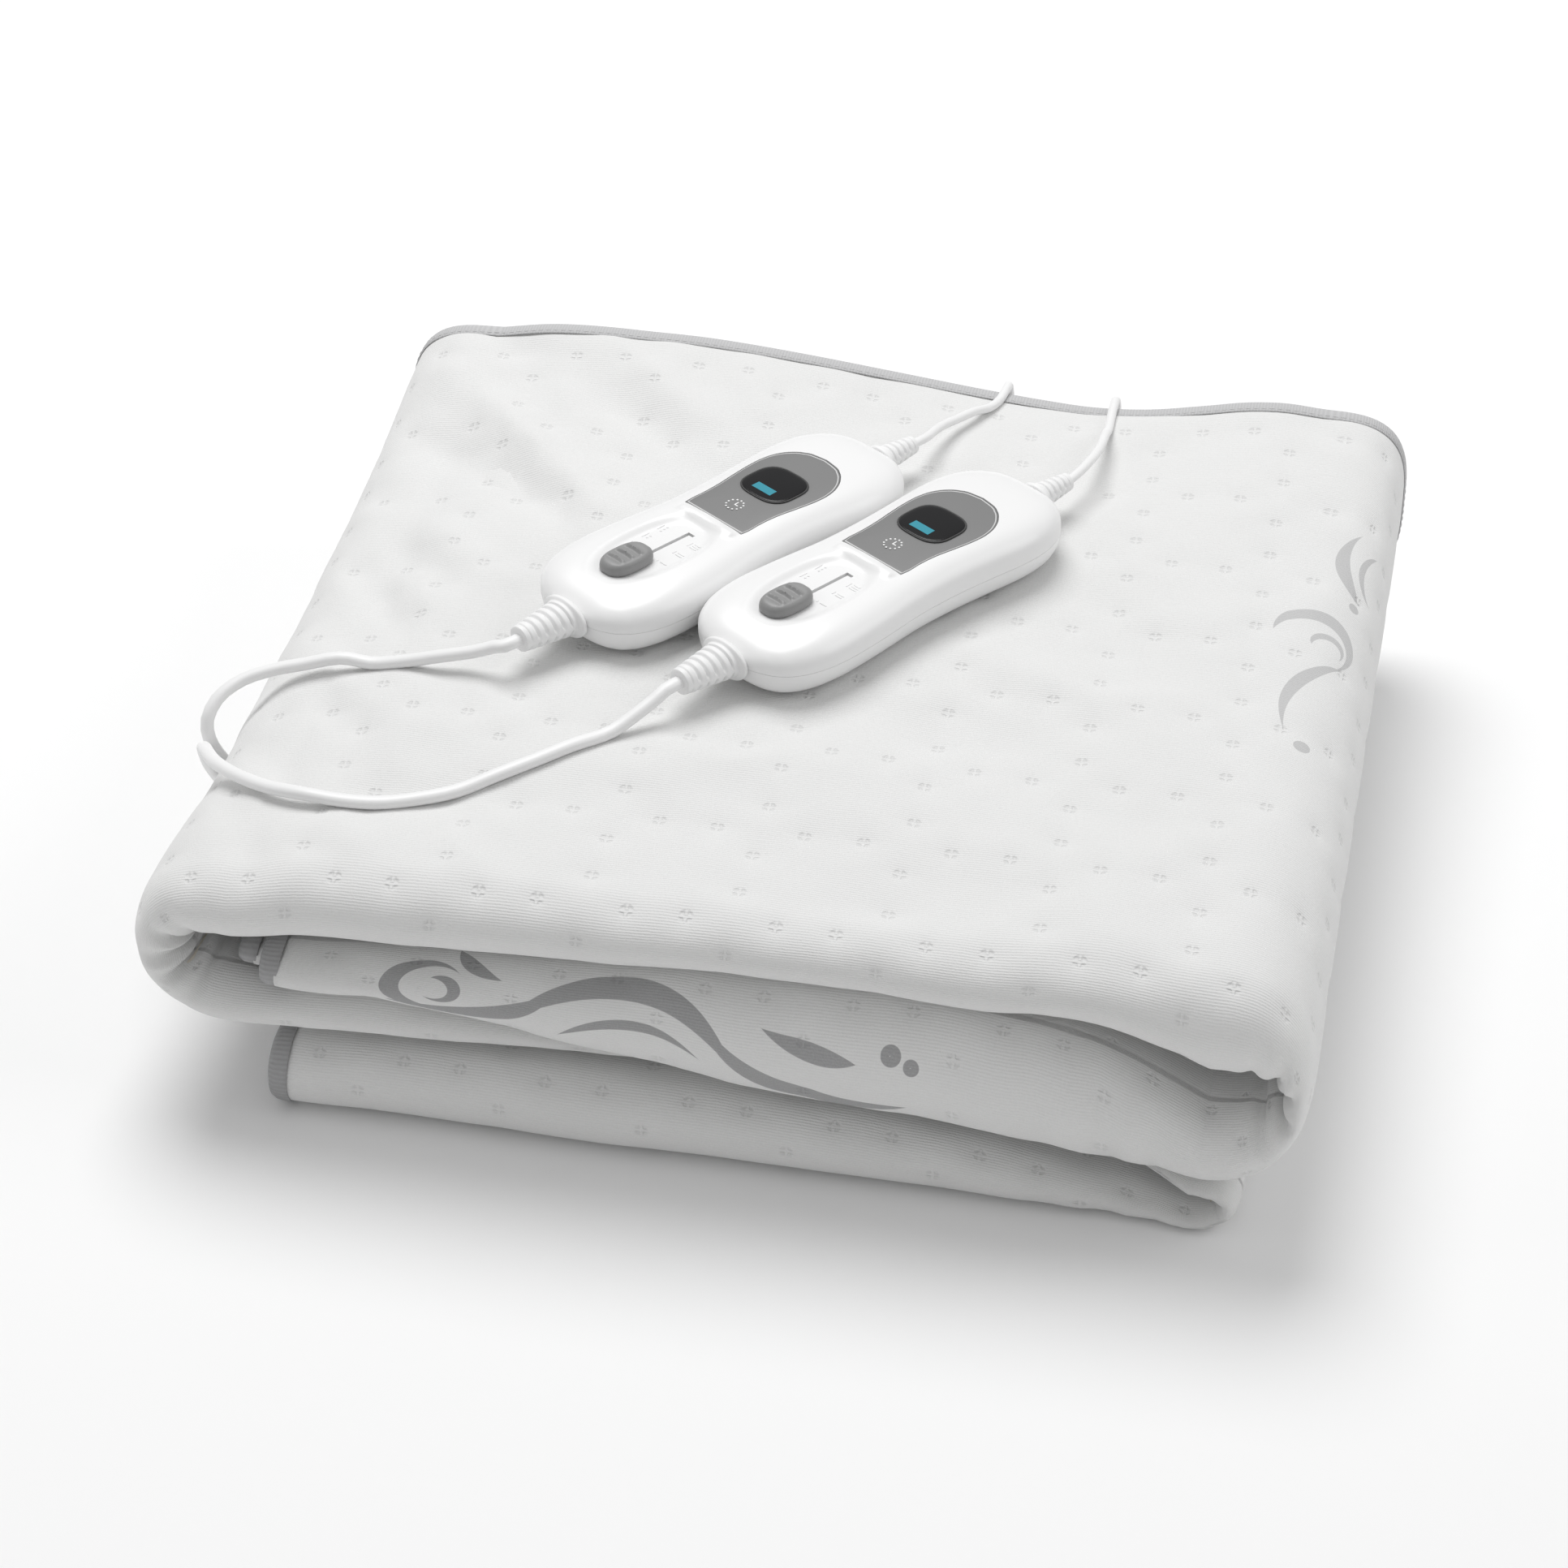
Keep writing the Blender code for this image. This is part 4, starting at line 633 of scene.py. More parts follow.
# heights of the two faces of each layer, well inside the stack and at the front lip
layerSpec = {
    "A": {
        "x": (-150, -100, 7, 90, 162),
        "outFlat": (24, 22.7, 20, 17.8, 16), "inFlat": (0, 0, 0, 0, 0),
        "outLip": (27, 28, 26, 20, 6.5), "inLip": (0, 0, 0, 0, 0),
        "reach": (-3, -3, -3, -3, -2), "depth": (16, 16, 16, 15, 14)},
    "B": {
        "x": (-165, -100, 7, 90, 130, 162),
        "outFlat": (25, 23.4, 21, 19.8, 19.3, 19), "inFlat": (45, 43, 39, 37, 36, 35),
        "outLip": (34, 33, 28, 22.5, 18.5, 12.5), "inLip": (52, 49, 33, 27, 23.5, 20.5),
        "reach": (0, 3, 12, 18, 13, 0), "depth": (19, 16, 11, 10, 11, 14)},
    "C": {
        "x": (-165, -145, -120, -99, 7, 88, 140, 166),
        "outFlat": (95, 100.5, 103.5, 104, 104, 104, 104, 104),
        "inFlat": (73, 78, 81.5, 82, 82, 82, 82, 82),
        "outLip": (97, 100.5, 102.6, 103.5, 104, 104, 104, 104),
        "inLip": (70, 72, 74, 75, 80.5, 79.5, 76, 66),
        "reach": (0, 0, 0, 0, 0, 0, 0, 0), "depth": (19, 19, 19, 19, 19, 19, 19, 19)},
    "D": {
        "x": (-150, -100, -49, 7, 90, 130, 166),
        "outFlat": (46, 44.6, 43, 41, 38.5, 37.2, 36), "inFlat": (66, 65, 64, 63, 62, 61, 60),
        "outLip": (52.5, 50, 42, 34, 28, 24.2, 21), "inLip": (68, 71, 75, 78, 76.5, 69, 50),
        "reach": (-1, -1, -1, -2, -3, -3, -3), "depth": (17, 18, 19, 20, 20, 20, 19)},
}
# half turns: lowest and highest place and reach sideways, of the outer and the inner face
turnSpec = {
    "lower": {"x": 162.0, "side": 1, "outwards": -1, "outer": (0, 35, 17.5), "inner": (16, 19, 1.5),
              "outerLip": (0, 20.5, 17.5), "innerLip": (6.5, 12.5, 9), "reach": (-2, 0), "depth": (14, 14)},
    "left": {"x": -165.0, "side": -1, "outwards": 1, "outer": (25, 95, 36), "inner": (45, 73, 14.2),
             "outerLip": (34, 97, 38), "innerLip": (52, 70, 18), "reach": (0, 0), "depth": (19, 19)},
    "right": {"x": 166.0, "side": 1, "outwards": 1, "outer": (36, 104, 34), "inner": (60, 82, 11),
              "outerLip": (21, 104, 34), "innerLip": (50, 66, 23.5), "reach": (-3, 0), "depth": (19, 19)},
}
# soft creases on the top: start, end, half width, height
creaseSpec = (
    ((-175, 150), (-95, 60), 9, 1.5), ((-150, 172), (-60, 95), 10, -1.4),
    ((-118, 176), (-70, 130), 8, 1.2), ((-182, 60), (-120, 12), 10, 1.0),
    ((-170, 108), (-110, 60), 8, -1.1), ((-60, 165), (-38, 120), 8, 1.0),
    ((-12, 172), (4, 120), 9, -1.1), ((70, 62), (118, 10), 13, -1.5),
    ((60, -5), (112, -28), 12, 1.3), ((20, -52), (88, -62), 14, -1.2),
    ((-60, -96), (10, -82), 16, 1.0), ((96, 150), (82, 88), 14, -1.0),
    ((140, 120), (120, 60), 16, 0.9), ((-185, -30), (-130, -86), 12, 0.9),
    ((-140, -135), (-70, -120), 15, -0.9), ((60, -120), (160, -110), 22, 0.7),
    ((-176, 20), (-150, -20), 8, -0.8),
)
# pleats where a turn is squeezed: angle round the turn, depth share
pleatSpec = {
    "left": ((-0.95, 0.6), (-0.45, 0.9), (0.02, 0.7), (0.42, 1.0), (0.9, 0.6)),
    "right": ((-0.8, 0.7), (-0.3, 1.0), (0.2, 0.8), (0.62, 1.0), (1.05, 0.7)),
    "lower": ((-0.5, 0.25), (0.3, 0.3)),
}
# soft upright folds beside the right pockets: place, half width, depth, slant
lipFolds = {
    "D": ((106, 7, 1.5, 7), (128, 5.5, 2.6, 9), (145, 4.5, 2.0, 9)),
    "A": ((112, 7, 1.2, 6), (132, 5.5, 1.8, 8), (147, 4.0, 1.4, 8)),
}


# soft shapes of the cloth: crease strength, ripples (height, step, slice of the noise), pleats,
# waver of the lips, and where each of them fades; in mm
softSpec = {
    "creaseEnds": 0.35, "creaseGain": (1.7, 0.9), "leftFade": (-40, -130),
    "ripples": ((2.2, 0.016, 3.1), (0.9, 0.05, 7.7)),
    "slantRipple": {"height": 2.2, "way": (0.8, 0.6), "across": 0.060, "along": 0.018, "slice": 1.9},
    "frontFade": 25, "backFade": 20, "lipPull": 40,
    "heldHalf": (95 * mm, 26 * mm), "heldFade": (20 * mm, 16 * mm),
    "pocketWaves": 8.5, "pocketShift": {"left": 0.8}, "pocketBend": (0.12, 5),
    "pocketDepth": 1.6, "pocketOuter": 0.2, "pleatDepth": 7.0, "pleatPower": 1.5,
    "pleatWidth": (0.085, 0.12), "pleatDent": 4.6, "pleatFade": (-80, -160),
    "innerShift": {"D": 10.0, "A": 2.0}, "innerFade": (-100, -148),
    "waverFade": 60, "waverY": (1.9, 0.021, (2.3, 5.0)), "waverZ": (1.1, 0.03, (8.3, 1.0)),
    "waverRise": 20, "waverLow": 0.4,
}
zipSpec = {"low": -220, "span": 420, "margin": 0.02, "closing": 1e9, "done": 2e9}
rowMargin = 0.01


def smoothStep(value):
    t = np.clip(value, 0, 1)
    return t * t * (3 - 2 * t)


# zero at low, one at high
def softStep(value, low, high):
    return float(smoothStep((value - low) / (high - low)))


def smoothTable(x, xs, ys):
    order = np.argsort(xs)
    xs, ys = np.array(xs, float)[order], np.array(ys, float)[order]
    slope = np.gradient(ys, xs)
    x = float(np.clip(x, xs[0], xs[-1]))
    k = int(np.clip(np.searchsorted(xs, x) - 1, 0, len(xs) - 2))
    h = xs[k + 1] - xs[k]
    t = (x - xs[k]) / h
    return float((2 * t ** 3 - 3 * t ** 2 + 1) * ys[k] + (t ** 3 - 2 * t ** 2 + t) * h * slope[k]
                 + (3 * t ** 2 - 2 * t ** 3) * ys[k + 1] + (t ** 3 - t ** 2) * h * slope[k + 1])


def flatRing(layer, x):
    spec = layerSpec[layer]
    read = {key: smoothTable(x, spec["x"], spec[key]) for key in spec if key != "x"}
    return {"kind": layer, "x": x, "turn": None, **read}


def turnRing(name, angle):
    return {"kind": name, "turn": turnSpec[name], "angle": angle, "share": 0.5 + angle / math.pi}


# the runs of the roll in order: name, start, end (x or quarter turns), place along the cloth, length
def rollRuns():
    spec = sheetSpec
    left, right, low, hem = (spec[key] for key in ("leftX", "rightX", "lowRightX", "hemX"))
    runs = []
    along = 0.0
    for name, start, end in (("A", hem, low), ("lower", -1, 1), ("B", low, left), ("left", -1, 1),
                             ("C", left, right), ("right", 1, -1), ("D", right, hem)):
        if name in layerSpec:
            size = abs(end - start)
        else:
            lowest, highest, reach = turnSpec[name]["outer"]
            size = math.pi / 2 * ((highest - lowest) / 2 + reach)
        runs.append((name, start, end, along, size))
        along += size
    shift = next(left - at for name, start, end, at, size in runs if name == "C")
    return [(name, start, end, at + shift, size) for name, start, end, at, size in runs]


runTable = rollRuns()
sheetEnds = (runTable[0][3], runTable[-1][3] + runTable[-1][4])
arcTable = ([at + size / 2 for name, start, end, at, size in runTable],
            [sheetSpec["lipArc"][run[0]] for run in runTable])


def ringAt(s):
    for name, start, end, at, size in runTable:
        if s <= at + size + 1e-6:
            break
    place = start + (end - start) * min(1.0, max(0.0, (s - at) / size))
    ring = flatRing(name, place) if name in layerSpec else turnRing(name, math.pi / 2 * place)
    ring["s"] = s
    return ring


# lines across one direction of the cloth, close together at the quilting marks
def markLines(low, high, axis, spacing):
    spec = sheetSpec
    pitch, centre, offset = (spec[key + axis] for key in ("markPitch", "mark", "markOff"))
    first = math.floor((low - centre) / pitch) - 1
    last = math.ceil((high - centre) / pitch) + 1
    lines = [centre + cell * pitch + off + step for cell in range(first, last + 1)
             for off in (-offset, 0, offset) for step in spec["markSteps"]]
    full = [low]
    for value in [*sorted(v for v in lines if low < v < high), high]:
        gap = value - full[-1]
        extra = int(gap // spacing)
        full += [full[-1] + gap * (i + 1) / (extra + 1) for i in range(extra)]
        full.append(value)
    return full


# the loop round the doubled sheet at one place along the roll: kind, depth or angle, level(s)
def sectionKeys(fine):
    spec = sheetSpec
    gap, mid = spec["foldGap"], spec["sheetGap"]
    lip, back = spec["lipStart"], spec["backY"] - spec["hem"]
    tops = markLines(lip, back, "Y", spec["fineFold"])[::-1] if fine else [back, *spec["topRows"], lip]
    under = [lip, *spec["underRows"], back]
    hidden = [lip, *spec["hiddenRows"], back]
    lips, bends, folds = spec["lipSteps"][fine], spec["backSteps"], spec["hiddenSteps"]
    keys = [("flat", y, 1.0) for y in tops]
    keys += [("lip", math.pi * i / lips, 1.0) for i in range(1, lips)]
    keys += [("flat", y, -1.0) for y in under]
    keys += [("turn", math.pi * i / bends, (gap, 1.0)) for i in range(1, bends)]
    keys += [("flat", y, -gap) for y in hidden[::-1]]
    keys += [("lip", math.pi / 2, gap)]
    keys += [("flat", y, gap) for y in hidden]
    keys += [("flat", y, 0.5 - mid) for y in hidden[::-1]]
    keys += [("lip", math.pi * i / folds, 0.5 - mid) for i in range(1, folds)]
    keys += [("flat", y, -0.5 + mid) for y in hidden]
    keys += [("turn", math.pi / 2, (0.5 - mid, 0.5 + mid))]
    keys += [("flat", y, -0.5 - mid) for y in hidden[::-1]]
    keys += [("lip", math.pi * (folds - i) / folds, 0.5 + mid) for i in range(1, folds)]
    keys += [("flat", y, 0.5 + mid) for y in hidden]
    return keys


# a half turn seen along y: a rounded box between its inner and its outer face
def foldSpot(turn, angle, m, lipShare, square):
    power = 2 / square
    c = max(0.0, math.cos(angle)) ** power
    s = math.copysign(abs(math.sin(angle)) ** power, math.sin(angle))
    spots = []
    for face in ("inner", "outer"):
        low, high, reach = (a + (b - a) * lipShare for a, b in zip(turn[face], turn[face + "Lip"]))
        spots.append((turn["x"] + turn["side"] * reach * c, (low + high) / 2 + (high - low) / 2 * s))
    (x0, z0), (x1, z1) = spots
    weight = 0.5 + 0.5 * m * turn["outwards"]
    return x0 + (x1 - x0) * weight, z0 + (z1 - z0) * weight


def layerSpot(ring, y, m, lipShare):
    if ring["turn"]:
        front, more, span = sheetSpec["turnPower"]
        return foldSpot(ring["turn"], ring["angle"], m, lipShare, front + more * softStep(y, 0, span))
    high = ring["outFlat"] + (ring["outLip"] - ring["outFlat"]) * lipShare
    low = ring["inFlat"] + (ring["inLip"] - ring["inFlat"]) * lipShare
    return ring["x"], (high + low) / 2 + (high - low) / 2 * m


def ringReach(ring):
    if ring["turn"]:
        ends = (ring["turn"]["reach"], ring["turn"]["depth"])
        return [a + (b - a) * ring["share"] for a, b in ends]
    return ring["reach"], ring["depth"]


# the back edge rises and falls
def waveAt(x, y):
    spec = sheetSpec
    t = softStep(y, spec["waveStart"], spec["waveStart"] + spec["waveSpan"])
    return 1 + t * smoothTable(x, spec["waveX"], spec["waveShare"])


def creaseHeight(x, y):
    soft = softSpec
    total = 0.0
    for (x0, y0), (x1, y1), wide, tall in creaseSpec:
        dx, dy = x1 - x0, y1 - y0
        t = min(1.0, max(0.0, ((x - x0) * dx + (y - y0) * dy) / (dx * dx + dy * dy)))
        away = (x - x0 - dx * t) ** 2 + (y - y0 - dy * t) ** 2
        total += tall * math.exp(-away / (wide * wide)) * (1 - soft["creaseEnds"] * abs(2 * t - 1))
    left = softStep(x, *soft["leftFade"])
    total *= soft["creaseGain"][0] + soft["creaseGain"][1] * left
    for height, step, cut in soft["ripples"]:
        total += height * noise.noise(Vector((x * step, y * step, cut)))
    slant = soft["slantRipple"]
    c, s = slant["way"]
    place = Vector(((x * c + y * s) * slant["across"], (y * c - x * s) * slant["along"], slant["slice"]))
    return total + left * slant["height"] * noise.noise(place)


# zero where a controller holds the velour down, one away from both
def heldDown(x, y):
    free = 1.0
    for side in ("far", "near"):
        spots = zip(controllerLocal(side, x * mm, y * mm), softSpec["heldHalf"], softSpec["heldFade"])
        away = math.hypot(*[max(0.0, abs(p) - half) / fade for p, half, fade in spots])
        free = min(free, float(smoothStep(away)))
    return free


# one on the inner face of a half turn, zero on its outer face
def innerOf(ring, level):
    return 0.5 - 0.5 * level * ring["turn"]["outwards"]


def pleatShare(ring, inner):
    least, more = softSpec["pleatWidth"]
    wide = least + more * (1 - inner)
    return sum(deep * math.exp(-((ring["angle"] - at) / wide) ** 2) for at, deep in pleatSpec[ring["kind"]])


def pocketCrease(ring, theta, level):
    soft = softSpec
    if not ring["turn"]:
        return 0.0
    inner = innerOf(ring, level)
    bent, times = soft["pocketBend"]
    turn = ring["angle"] + bent * math.sin(times * ring["angle"])
    phase = turn * soft["pocketWaves"] + soft["pocketShift"].get(ring["kind"], 0.0)
    waves = (0.5 + 0.5 * math.cos(phase)) ** 2 * (soft["pocketOuter"] + (1 - soft["pocketOuter"]) * inner)
    pleats = pleatShare(ring, inner) * inner ** soft["pleatPower"]
    bend = max(0.0, math.cos(ring["angle"]))
    return (soft["pocketDepth"] * waves + soft["pleatDepth"] * pleats) * bend * math.sin(theta)


# the inner thickness of a flap shows further out than the outer one
def innerShift(ring, kind, value, m):
    if ring["kind"] not in softSpec["innerShift"]:
        return 0.0
    far = value / math.pi if kind == "turn" else float(abs(m) < 0.5)
    return -softSpec["innerShift"][ring["kind"]] * far * softStep(ring["x"], *softSpec["innerFade"])


# depth in the stack, and level between the two faces of the layer
def keySpot(ring, kind, value, m):
    spec = sheetSpec
    reach, depth = ringReach(ring)
    if kind == "lip":
        return spec["lipStart"] + reach - depth * abs(m) * math.sin(value), m * math.cos(value)
    if kind == "turn":
        middle, radius = (m[0] + m[1]) / 2, (m[1] - m[0]) / 2
        bulge = spec["backBulge"] * radius * math.sin(value)
        return spec["backY"] - spec["hem"] + bulge, -middle - radius * math.cos(value)
    return value + reach * softStep(value, spec["lipStart"] + softSpec["lipPull"], spec["lipStart"]), m


def bareSpot(ring, y, level):
    spec = sheetSpec
    x, z = layerSpot(ring, y, level, softStep(y, spec["blendStart"], spec["lipStart"]))
    return x, z * waveAt(max(spec["leftX"], min(spec["rightX"], x)), y)


# place of one key with all soft shapes, and its lengths along and across the flat cloth
def sheetSpot(ring, key):
    kind, value, m = key
    spec, soft = sheetSpec, softSpec
    y, level = keySpot(ring, kind, value, m)
    if kind == "lip":
        v = spec["lipStart"] - float(np.interp(ring["s"], *arcTable)) * value
    elif kind == "turn":
        v = y
    else:
        v = value if m > 0 else 2 * spec["lipStart"] - spec["underStart"] - value
    x, z = bareSpot(ring, y, level)
    x += innerShift(ring, kind, value, m)
    if ring["turn"] and kind != "turn":
        inner, bend = innerOf(ring, level), math.cos(ring["angle"])
        dent = soft["pleatDent"] * pleatShare(ring, inner) * inner ** 3
        dent *= max(0.0, bend) * softStep(y, *soft["pleatFade"])
        x += ring["turn"]["side"] * bend * dent
        z += math.sin(ring["angle"]) * dent
    front = softStep(y, spec["blendStart"], spec["blendStart"] - soft["waverFade"])
    height, step, cut = soft["waverY"]
    y += height * front * noise.noise(Vector((ring["s"] * step, *cut)))
    height, step, cut = soft["waverZ"]
    height *= softStep(z, 0, soft["waverRise"]) * (soft["waverLow"] if ring["kind"] == "A" else 1)
    z += height * front * noise.noise(Vector((ring["s"] * step, *cut)))
    if kind == "lip":
        y += pocketCrease(ring, value, level)
        for at, wide, deep, slant in lipFolds.get(ring["kind"], ()):
            away = (x - at - slant * (1 - value / math.pi)) / wide
            y += deep * math.exp(-away ** 2) * math.sin(value)
    if kind != "turn" and ring["kind"] in ("C", "right", "left"):
        upper = 1.0 if ring["kind"] == "C" else max(0.0, math.sin(ring["angle"]))
        fade = softStep(y, spec["frontY"], spec["frontY"] + soft["frontFade"])
        fade *= softStep(y, spec["backY"], spec["backY"] - soft["backFade"])
        z += creaseHeight(x, y) * heldDown(x, y) * upper * fade * (0.5 + 0.5 * level)
    return Vector((x, y, max(spec["floorGap"], z))) * mm, (ring["s"], v)


def markDepth(s, v):
    spec = sheetSpec
    near = []
    for place, axis in ((s, "X"), (v, "Y")):
        pitch = spec["markPitch" + axis]
        near.append(np.abs((place - spec["mark" + axis] + pitch / 2) % pitch - pitch / 2))
    px, py = near
    away = np.minimum((px - spec["markOffX"]) ** 2 + py ** 2, px ** 2 + (py - spec["markOffY"]) ** 2)
    dents = sum(deep * np.exp(-away / wide) for deep, wide in spec["markDents"])
    return dents * np.clip((spec["markEnd"] - v) / spec["markFade"], 0, 1)


# rising numbers for the keys of a loop, so that two loops of other keys can be zipped
def orderOf(keys):
    spec = zipSpec
    order, base, last, rising = [], -1, None, True
    for i, (kind, value, m) in enumerate(keys):
        if (kind, m) != last:
            base, last = base + 1, (kind, m)
            after = keys[(i + 1) % len(keys)]
            rising = after[1] > value if (after[0], after[2]) == last else True
        share = (value - spec["low"]) / spec["span"] if kind == "flat" else value / math.pi
        order.append(base + spec["margin"] + (1 - 2 * spec["margin"]) * (share if rising else 1 - share))
    return order


def zipLoops(a, b, orderA, orderB):
    def upcoming(order, i):
        if i + 1 < len(order):
            return order[i + 1]
        return zipSpec["closing" if i < len(order) else "done"]

    faces = []
    i = j = 0
    nA, nB = len(orderA), len(orderB)
    while i < nA or j < nB:
        if upcoming(orderA, i) <= upcoming(orderB, j):
            faces.append((a + i % nA, a + (i + 1) % nA, b + j % nB))
            i += 1
        else:
            faces.append((a + i % nA, b + (j + 1) % nB, b + j % nB))
            j += 1
    return faces


# closes a raw side: a strip between the outer and the inner thickness of its loop
def capFaces(start, keys, s):
    split = next(i for i, (kind, value, m) in enumerate(keys)
                 if kind == "flat" and m == 0.5 - sheetSpec["sheetGap"])
    outer, inner = range(split), range(len(keys) - 1, split - 1, -1)
    ring = ringAt(s)
    spots = [sheetSpot(ring, key)[0] for key in keys]
    faces = []
    i = j = 0
    while i < len(outer) - 1 or j < len(inner) - 1:
        if j == len(inner) - 1:
            stepOuter = True
        elif i == len(outer) - 1:
            stepOuter = False
        else:
            stepOuter = ((spots[outer[i + 1]] - spots[inner[j]]).length
                         < (spots[outer[i]] - spots[inner[j + 1]]).length)
        third = outer[i + 1] if stepOuter else inner[j + 1]
        faces.append((start + outer[i], start + third, start + inner[j]))
        i, j = (i + 1, j) if stepOuter else (i, j + 1)
    return faces


# rows along the roll: place and whether it carries the quilting marks
def sheetRows():
    spec = sheetSpec
    fineRuns = ("left", "C", "right")
    fineFrom, fineTo = (next(run[3] + run[4] * end for run in runTable if run[0] == name)
                        for name, end in (("left", 0), ("right", 1)))
    rows = set()
    for name, start, end, at, size in runTable:
        if name in fineRuns:
            spacing = spec["fineFlat"] if name == "C" else spec["fineTurn"]
            rows |= {(round(s, 4), True) for s in markLines(at, at + size, "X", spacing)}
            continue
        count = max(4, round(size / (spec["flatSpacing"] if name in layerSpec else spec["foldSpacing"])))
        coarse = [at + size * i / count for i in range(count + 1)]
        rows |= {(round(s, 4), False) for s in coarse if not fineFrom - rowMargin < s < fineTo + rowMargin}
    return sorted(rows)


def makeSheet():
    keys = {fine: sectionKeys(fine) for fine in (True, False)}
    order = {fine: orderOf(keys[fine]) for fine in keys}
    points, coords, loops, skin = [], [], [], []
    for s, fine in sheetRows():
        ring = ringAt(s)
        loops.append((len(points), fine))
        for key in keys[fine]:
            place, flat = sheetSpot(ring, key)
            points.append(place)
            coords.append(flat)
            skin.append(float(key[0] != "turn" and key[2] == 1.0))
    faces = []
    for (a, fineA), (b, fineB) in zip(loops, loops[1:]):
        if fineA == fineB:
            n = len(keys[fineA])
            faces += [(a + i, a + (i + 1) % n, b + (i + 1) % n, b + i) for i in range(n)]
        else:
            faces += zipLoops(a, b, order[fineA], order[fineB])
    for (start, fine), s in zip((loops[0], loops[-1]), sheetEnds):
        faces += capFaces(start, keys[fine], s)
    mesh = solidMesh("foldedBlanket", points, faces)
    normals, place = np.zeros(len(points) * 3), np.zeros(len(points) * 3)
    mesh.vertices.foreach_get("normal", normals)
    mesh.vertices.foreach_get("co", place)
    s, v = np.array(coords).T
    place -= normals * np.repeat(markDepth(s, v) * np.array(skin) * mm, 3)
    mesh.vertices.foreach_set("co", place)
    paintCloth(mesh, coords)
    mesh.update()
    return mesh


blanketMesh = makeSheet()
print("sheet faces", len(blanketMesh.polygons), "triangles", trianglesOf(blanketMesh))
blanket = addObject("foldedBlanket", blanketMesh, velourMaterial())
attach(blanket, "folded_stack")
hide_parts("face_fabric", "backing_fabric")


# tapes folded over the two raw back edges and the two raw sides
tapeSpec = {
    "over": 0.05, "reach": 8.4, "sideGap": 0.6, "step": 3.2, "floorGap": 0.1,
    # faces of a back tape: place from its front or from the edge, share of the half thickness of
    # the cloth, and lift as a share of the tape's own height over it
    "backOuter": (("front", 0.0, 1, 0.4), ("front", 0.5, 1, 1), ("edge", -3.2, 1, 1),
                  ("edge", -1.5, 1, 0.3), ("edge", -0.2, 0.55, 0), ("edge", 0.0, 0, 0)),
    "backInner": (("front", 0.1, -1, -0.2), ("front", 0.6, -1, 0), ("edge", -3.4, -1, 0.9),
                  ("edge", -1.6, -1, 1.8), ("edge", -0.9, -0.5, 0), ("edge", -0.7, 0, 0)),
    # faces of a side tape: reach over the edge, lift off the cloth (none at its far end)
    "sideOuter": ((-1.4, 0.3), (-0.9, 0.55), (1.5, 0.55), (3.6, 0.3), (5.5, -0.9), (6.5, None)),
    "sideInner": ((-1.3, -0.2), (-0.8, -0.1), (1.4, -0.1), (3.4, -0.3), (4.9, -1.4), (5.6, None)),
    "leastHalf": 0.2 * mm, "aroundStep": 1.2, "flatSteps": 30, "lipSteps": 20, "turnSteps": 8, "foldSteps": 6,
}


# closed skin over equal closed loops, with flat ends
def stripMesh(name, rows, coords):
    count = len(rows[0])
    faces = bandFaces(len(rows), count)
    for base in (0, (len(rows) - 1) * count):
        for k in range(count // 2 - 1):
            faces.append((base + k, base + k + 1, base + count - 2 - k, base + count - 1 - k))
    mesh = solidMesh(name, [p for row in rows for p in row], faces)
    paintCloth(mesh, [c for row in coords for c in row])
    mesh.update()
    return mesh


def plainSpot(ring, y, level):
    x, z = bareSpot(ring, y, level)
    return Vector((x, y, max(tapeSpec["floorGap"], z))) * mm


# one face of a back tape and its mirror image about the middle level
def backFace(face, low, high):
    ends = {"front": sheetSpec["backY"] - tapeSpec["reach"], "edge": sheetSpec["backY"]}
    middle, half = (low + high) / 2, (high - low) / 2
    loop = [(ends[end] + off, middle + half * share + tapeSpec["over"] * lift)
            for end, off, share, lift in face]
    return loop + [(y, 2 * middle - m) for y, m in loop[-2::-1]]


def backTape(name, low, high):
    tape = tapeSpec
    loop = backFace(tape["backOuter"], low, high) + backFace(tape["backInner"], low, high)
    along = [0.0]
    for (y0, m0), (y1, m1) in zip(loop, loop[1:]):
        along.append(along[-1] + math.hypot(y1 - y0, (m1 - m0) * sheetSpec["backBulge"]))
    first, last = sheetEnds
    stations = np.linspace(first, last, round((last - first) / tape["step"]) + 1)
    rows = []
    for s in stations:
        ring = ringAt(float(s))
        rows.append([plainSpot(ring, y, m) for y, m in loop])
    coords = [[(float(s), a) for a in along] for s in stations]
    return addObject(name, stripMesh(name, rows, coords), hemTape)


# stations of the raw side edge: kind, depth or angle, outer level, inner level
def sidePath():
    spec, tape = sheetSpec, tapeSpec
    gap, mid, lip = spec["foldGap"], spec["sheetGap"], spec["lipStart"]
    back = spec["backY"] - spec["hem"] - tape["sideGap"]
    flats, lips, turns, folds = (tape[key] for key in ("flatSteps", "lipSteps", "turnSteps", "foldSteps"))
    ys = [lip + (back - lip) * i / flats for i in range(flats + 1)]
    path = [("flat", y, 1.0, 0.5 + mid) for y in ys[::-1]]
    path += [("lip", math.pi * i / lips, 1.0, 0.5 + mid) for i in range(1, lips)]
    path += [("flat", y, -1.0, -0.5 - mid) for y in ys]
    path += [("turn", math.pi * i / turns, (gap, 1.0), (0.5 - mid, 0.5 + mid)) for i in range(1, turns)]
    path += [("flat", y, -gap, -0.5 + mid) for y in ys[::-1]]
    path += [("lip", math.pi * (folds - i) / folds, gap, 0.5 - mid) for i in range(1, folds)]
    path += [("flat", y, gap, 0.5 - mid) for y in ys]
    return path


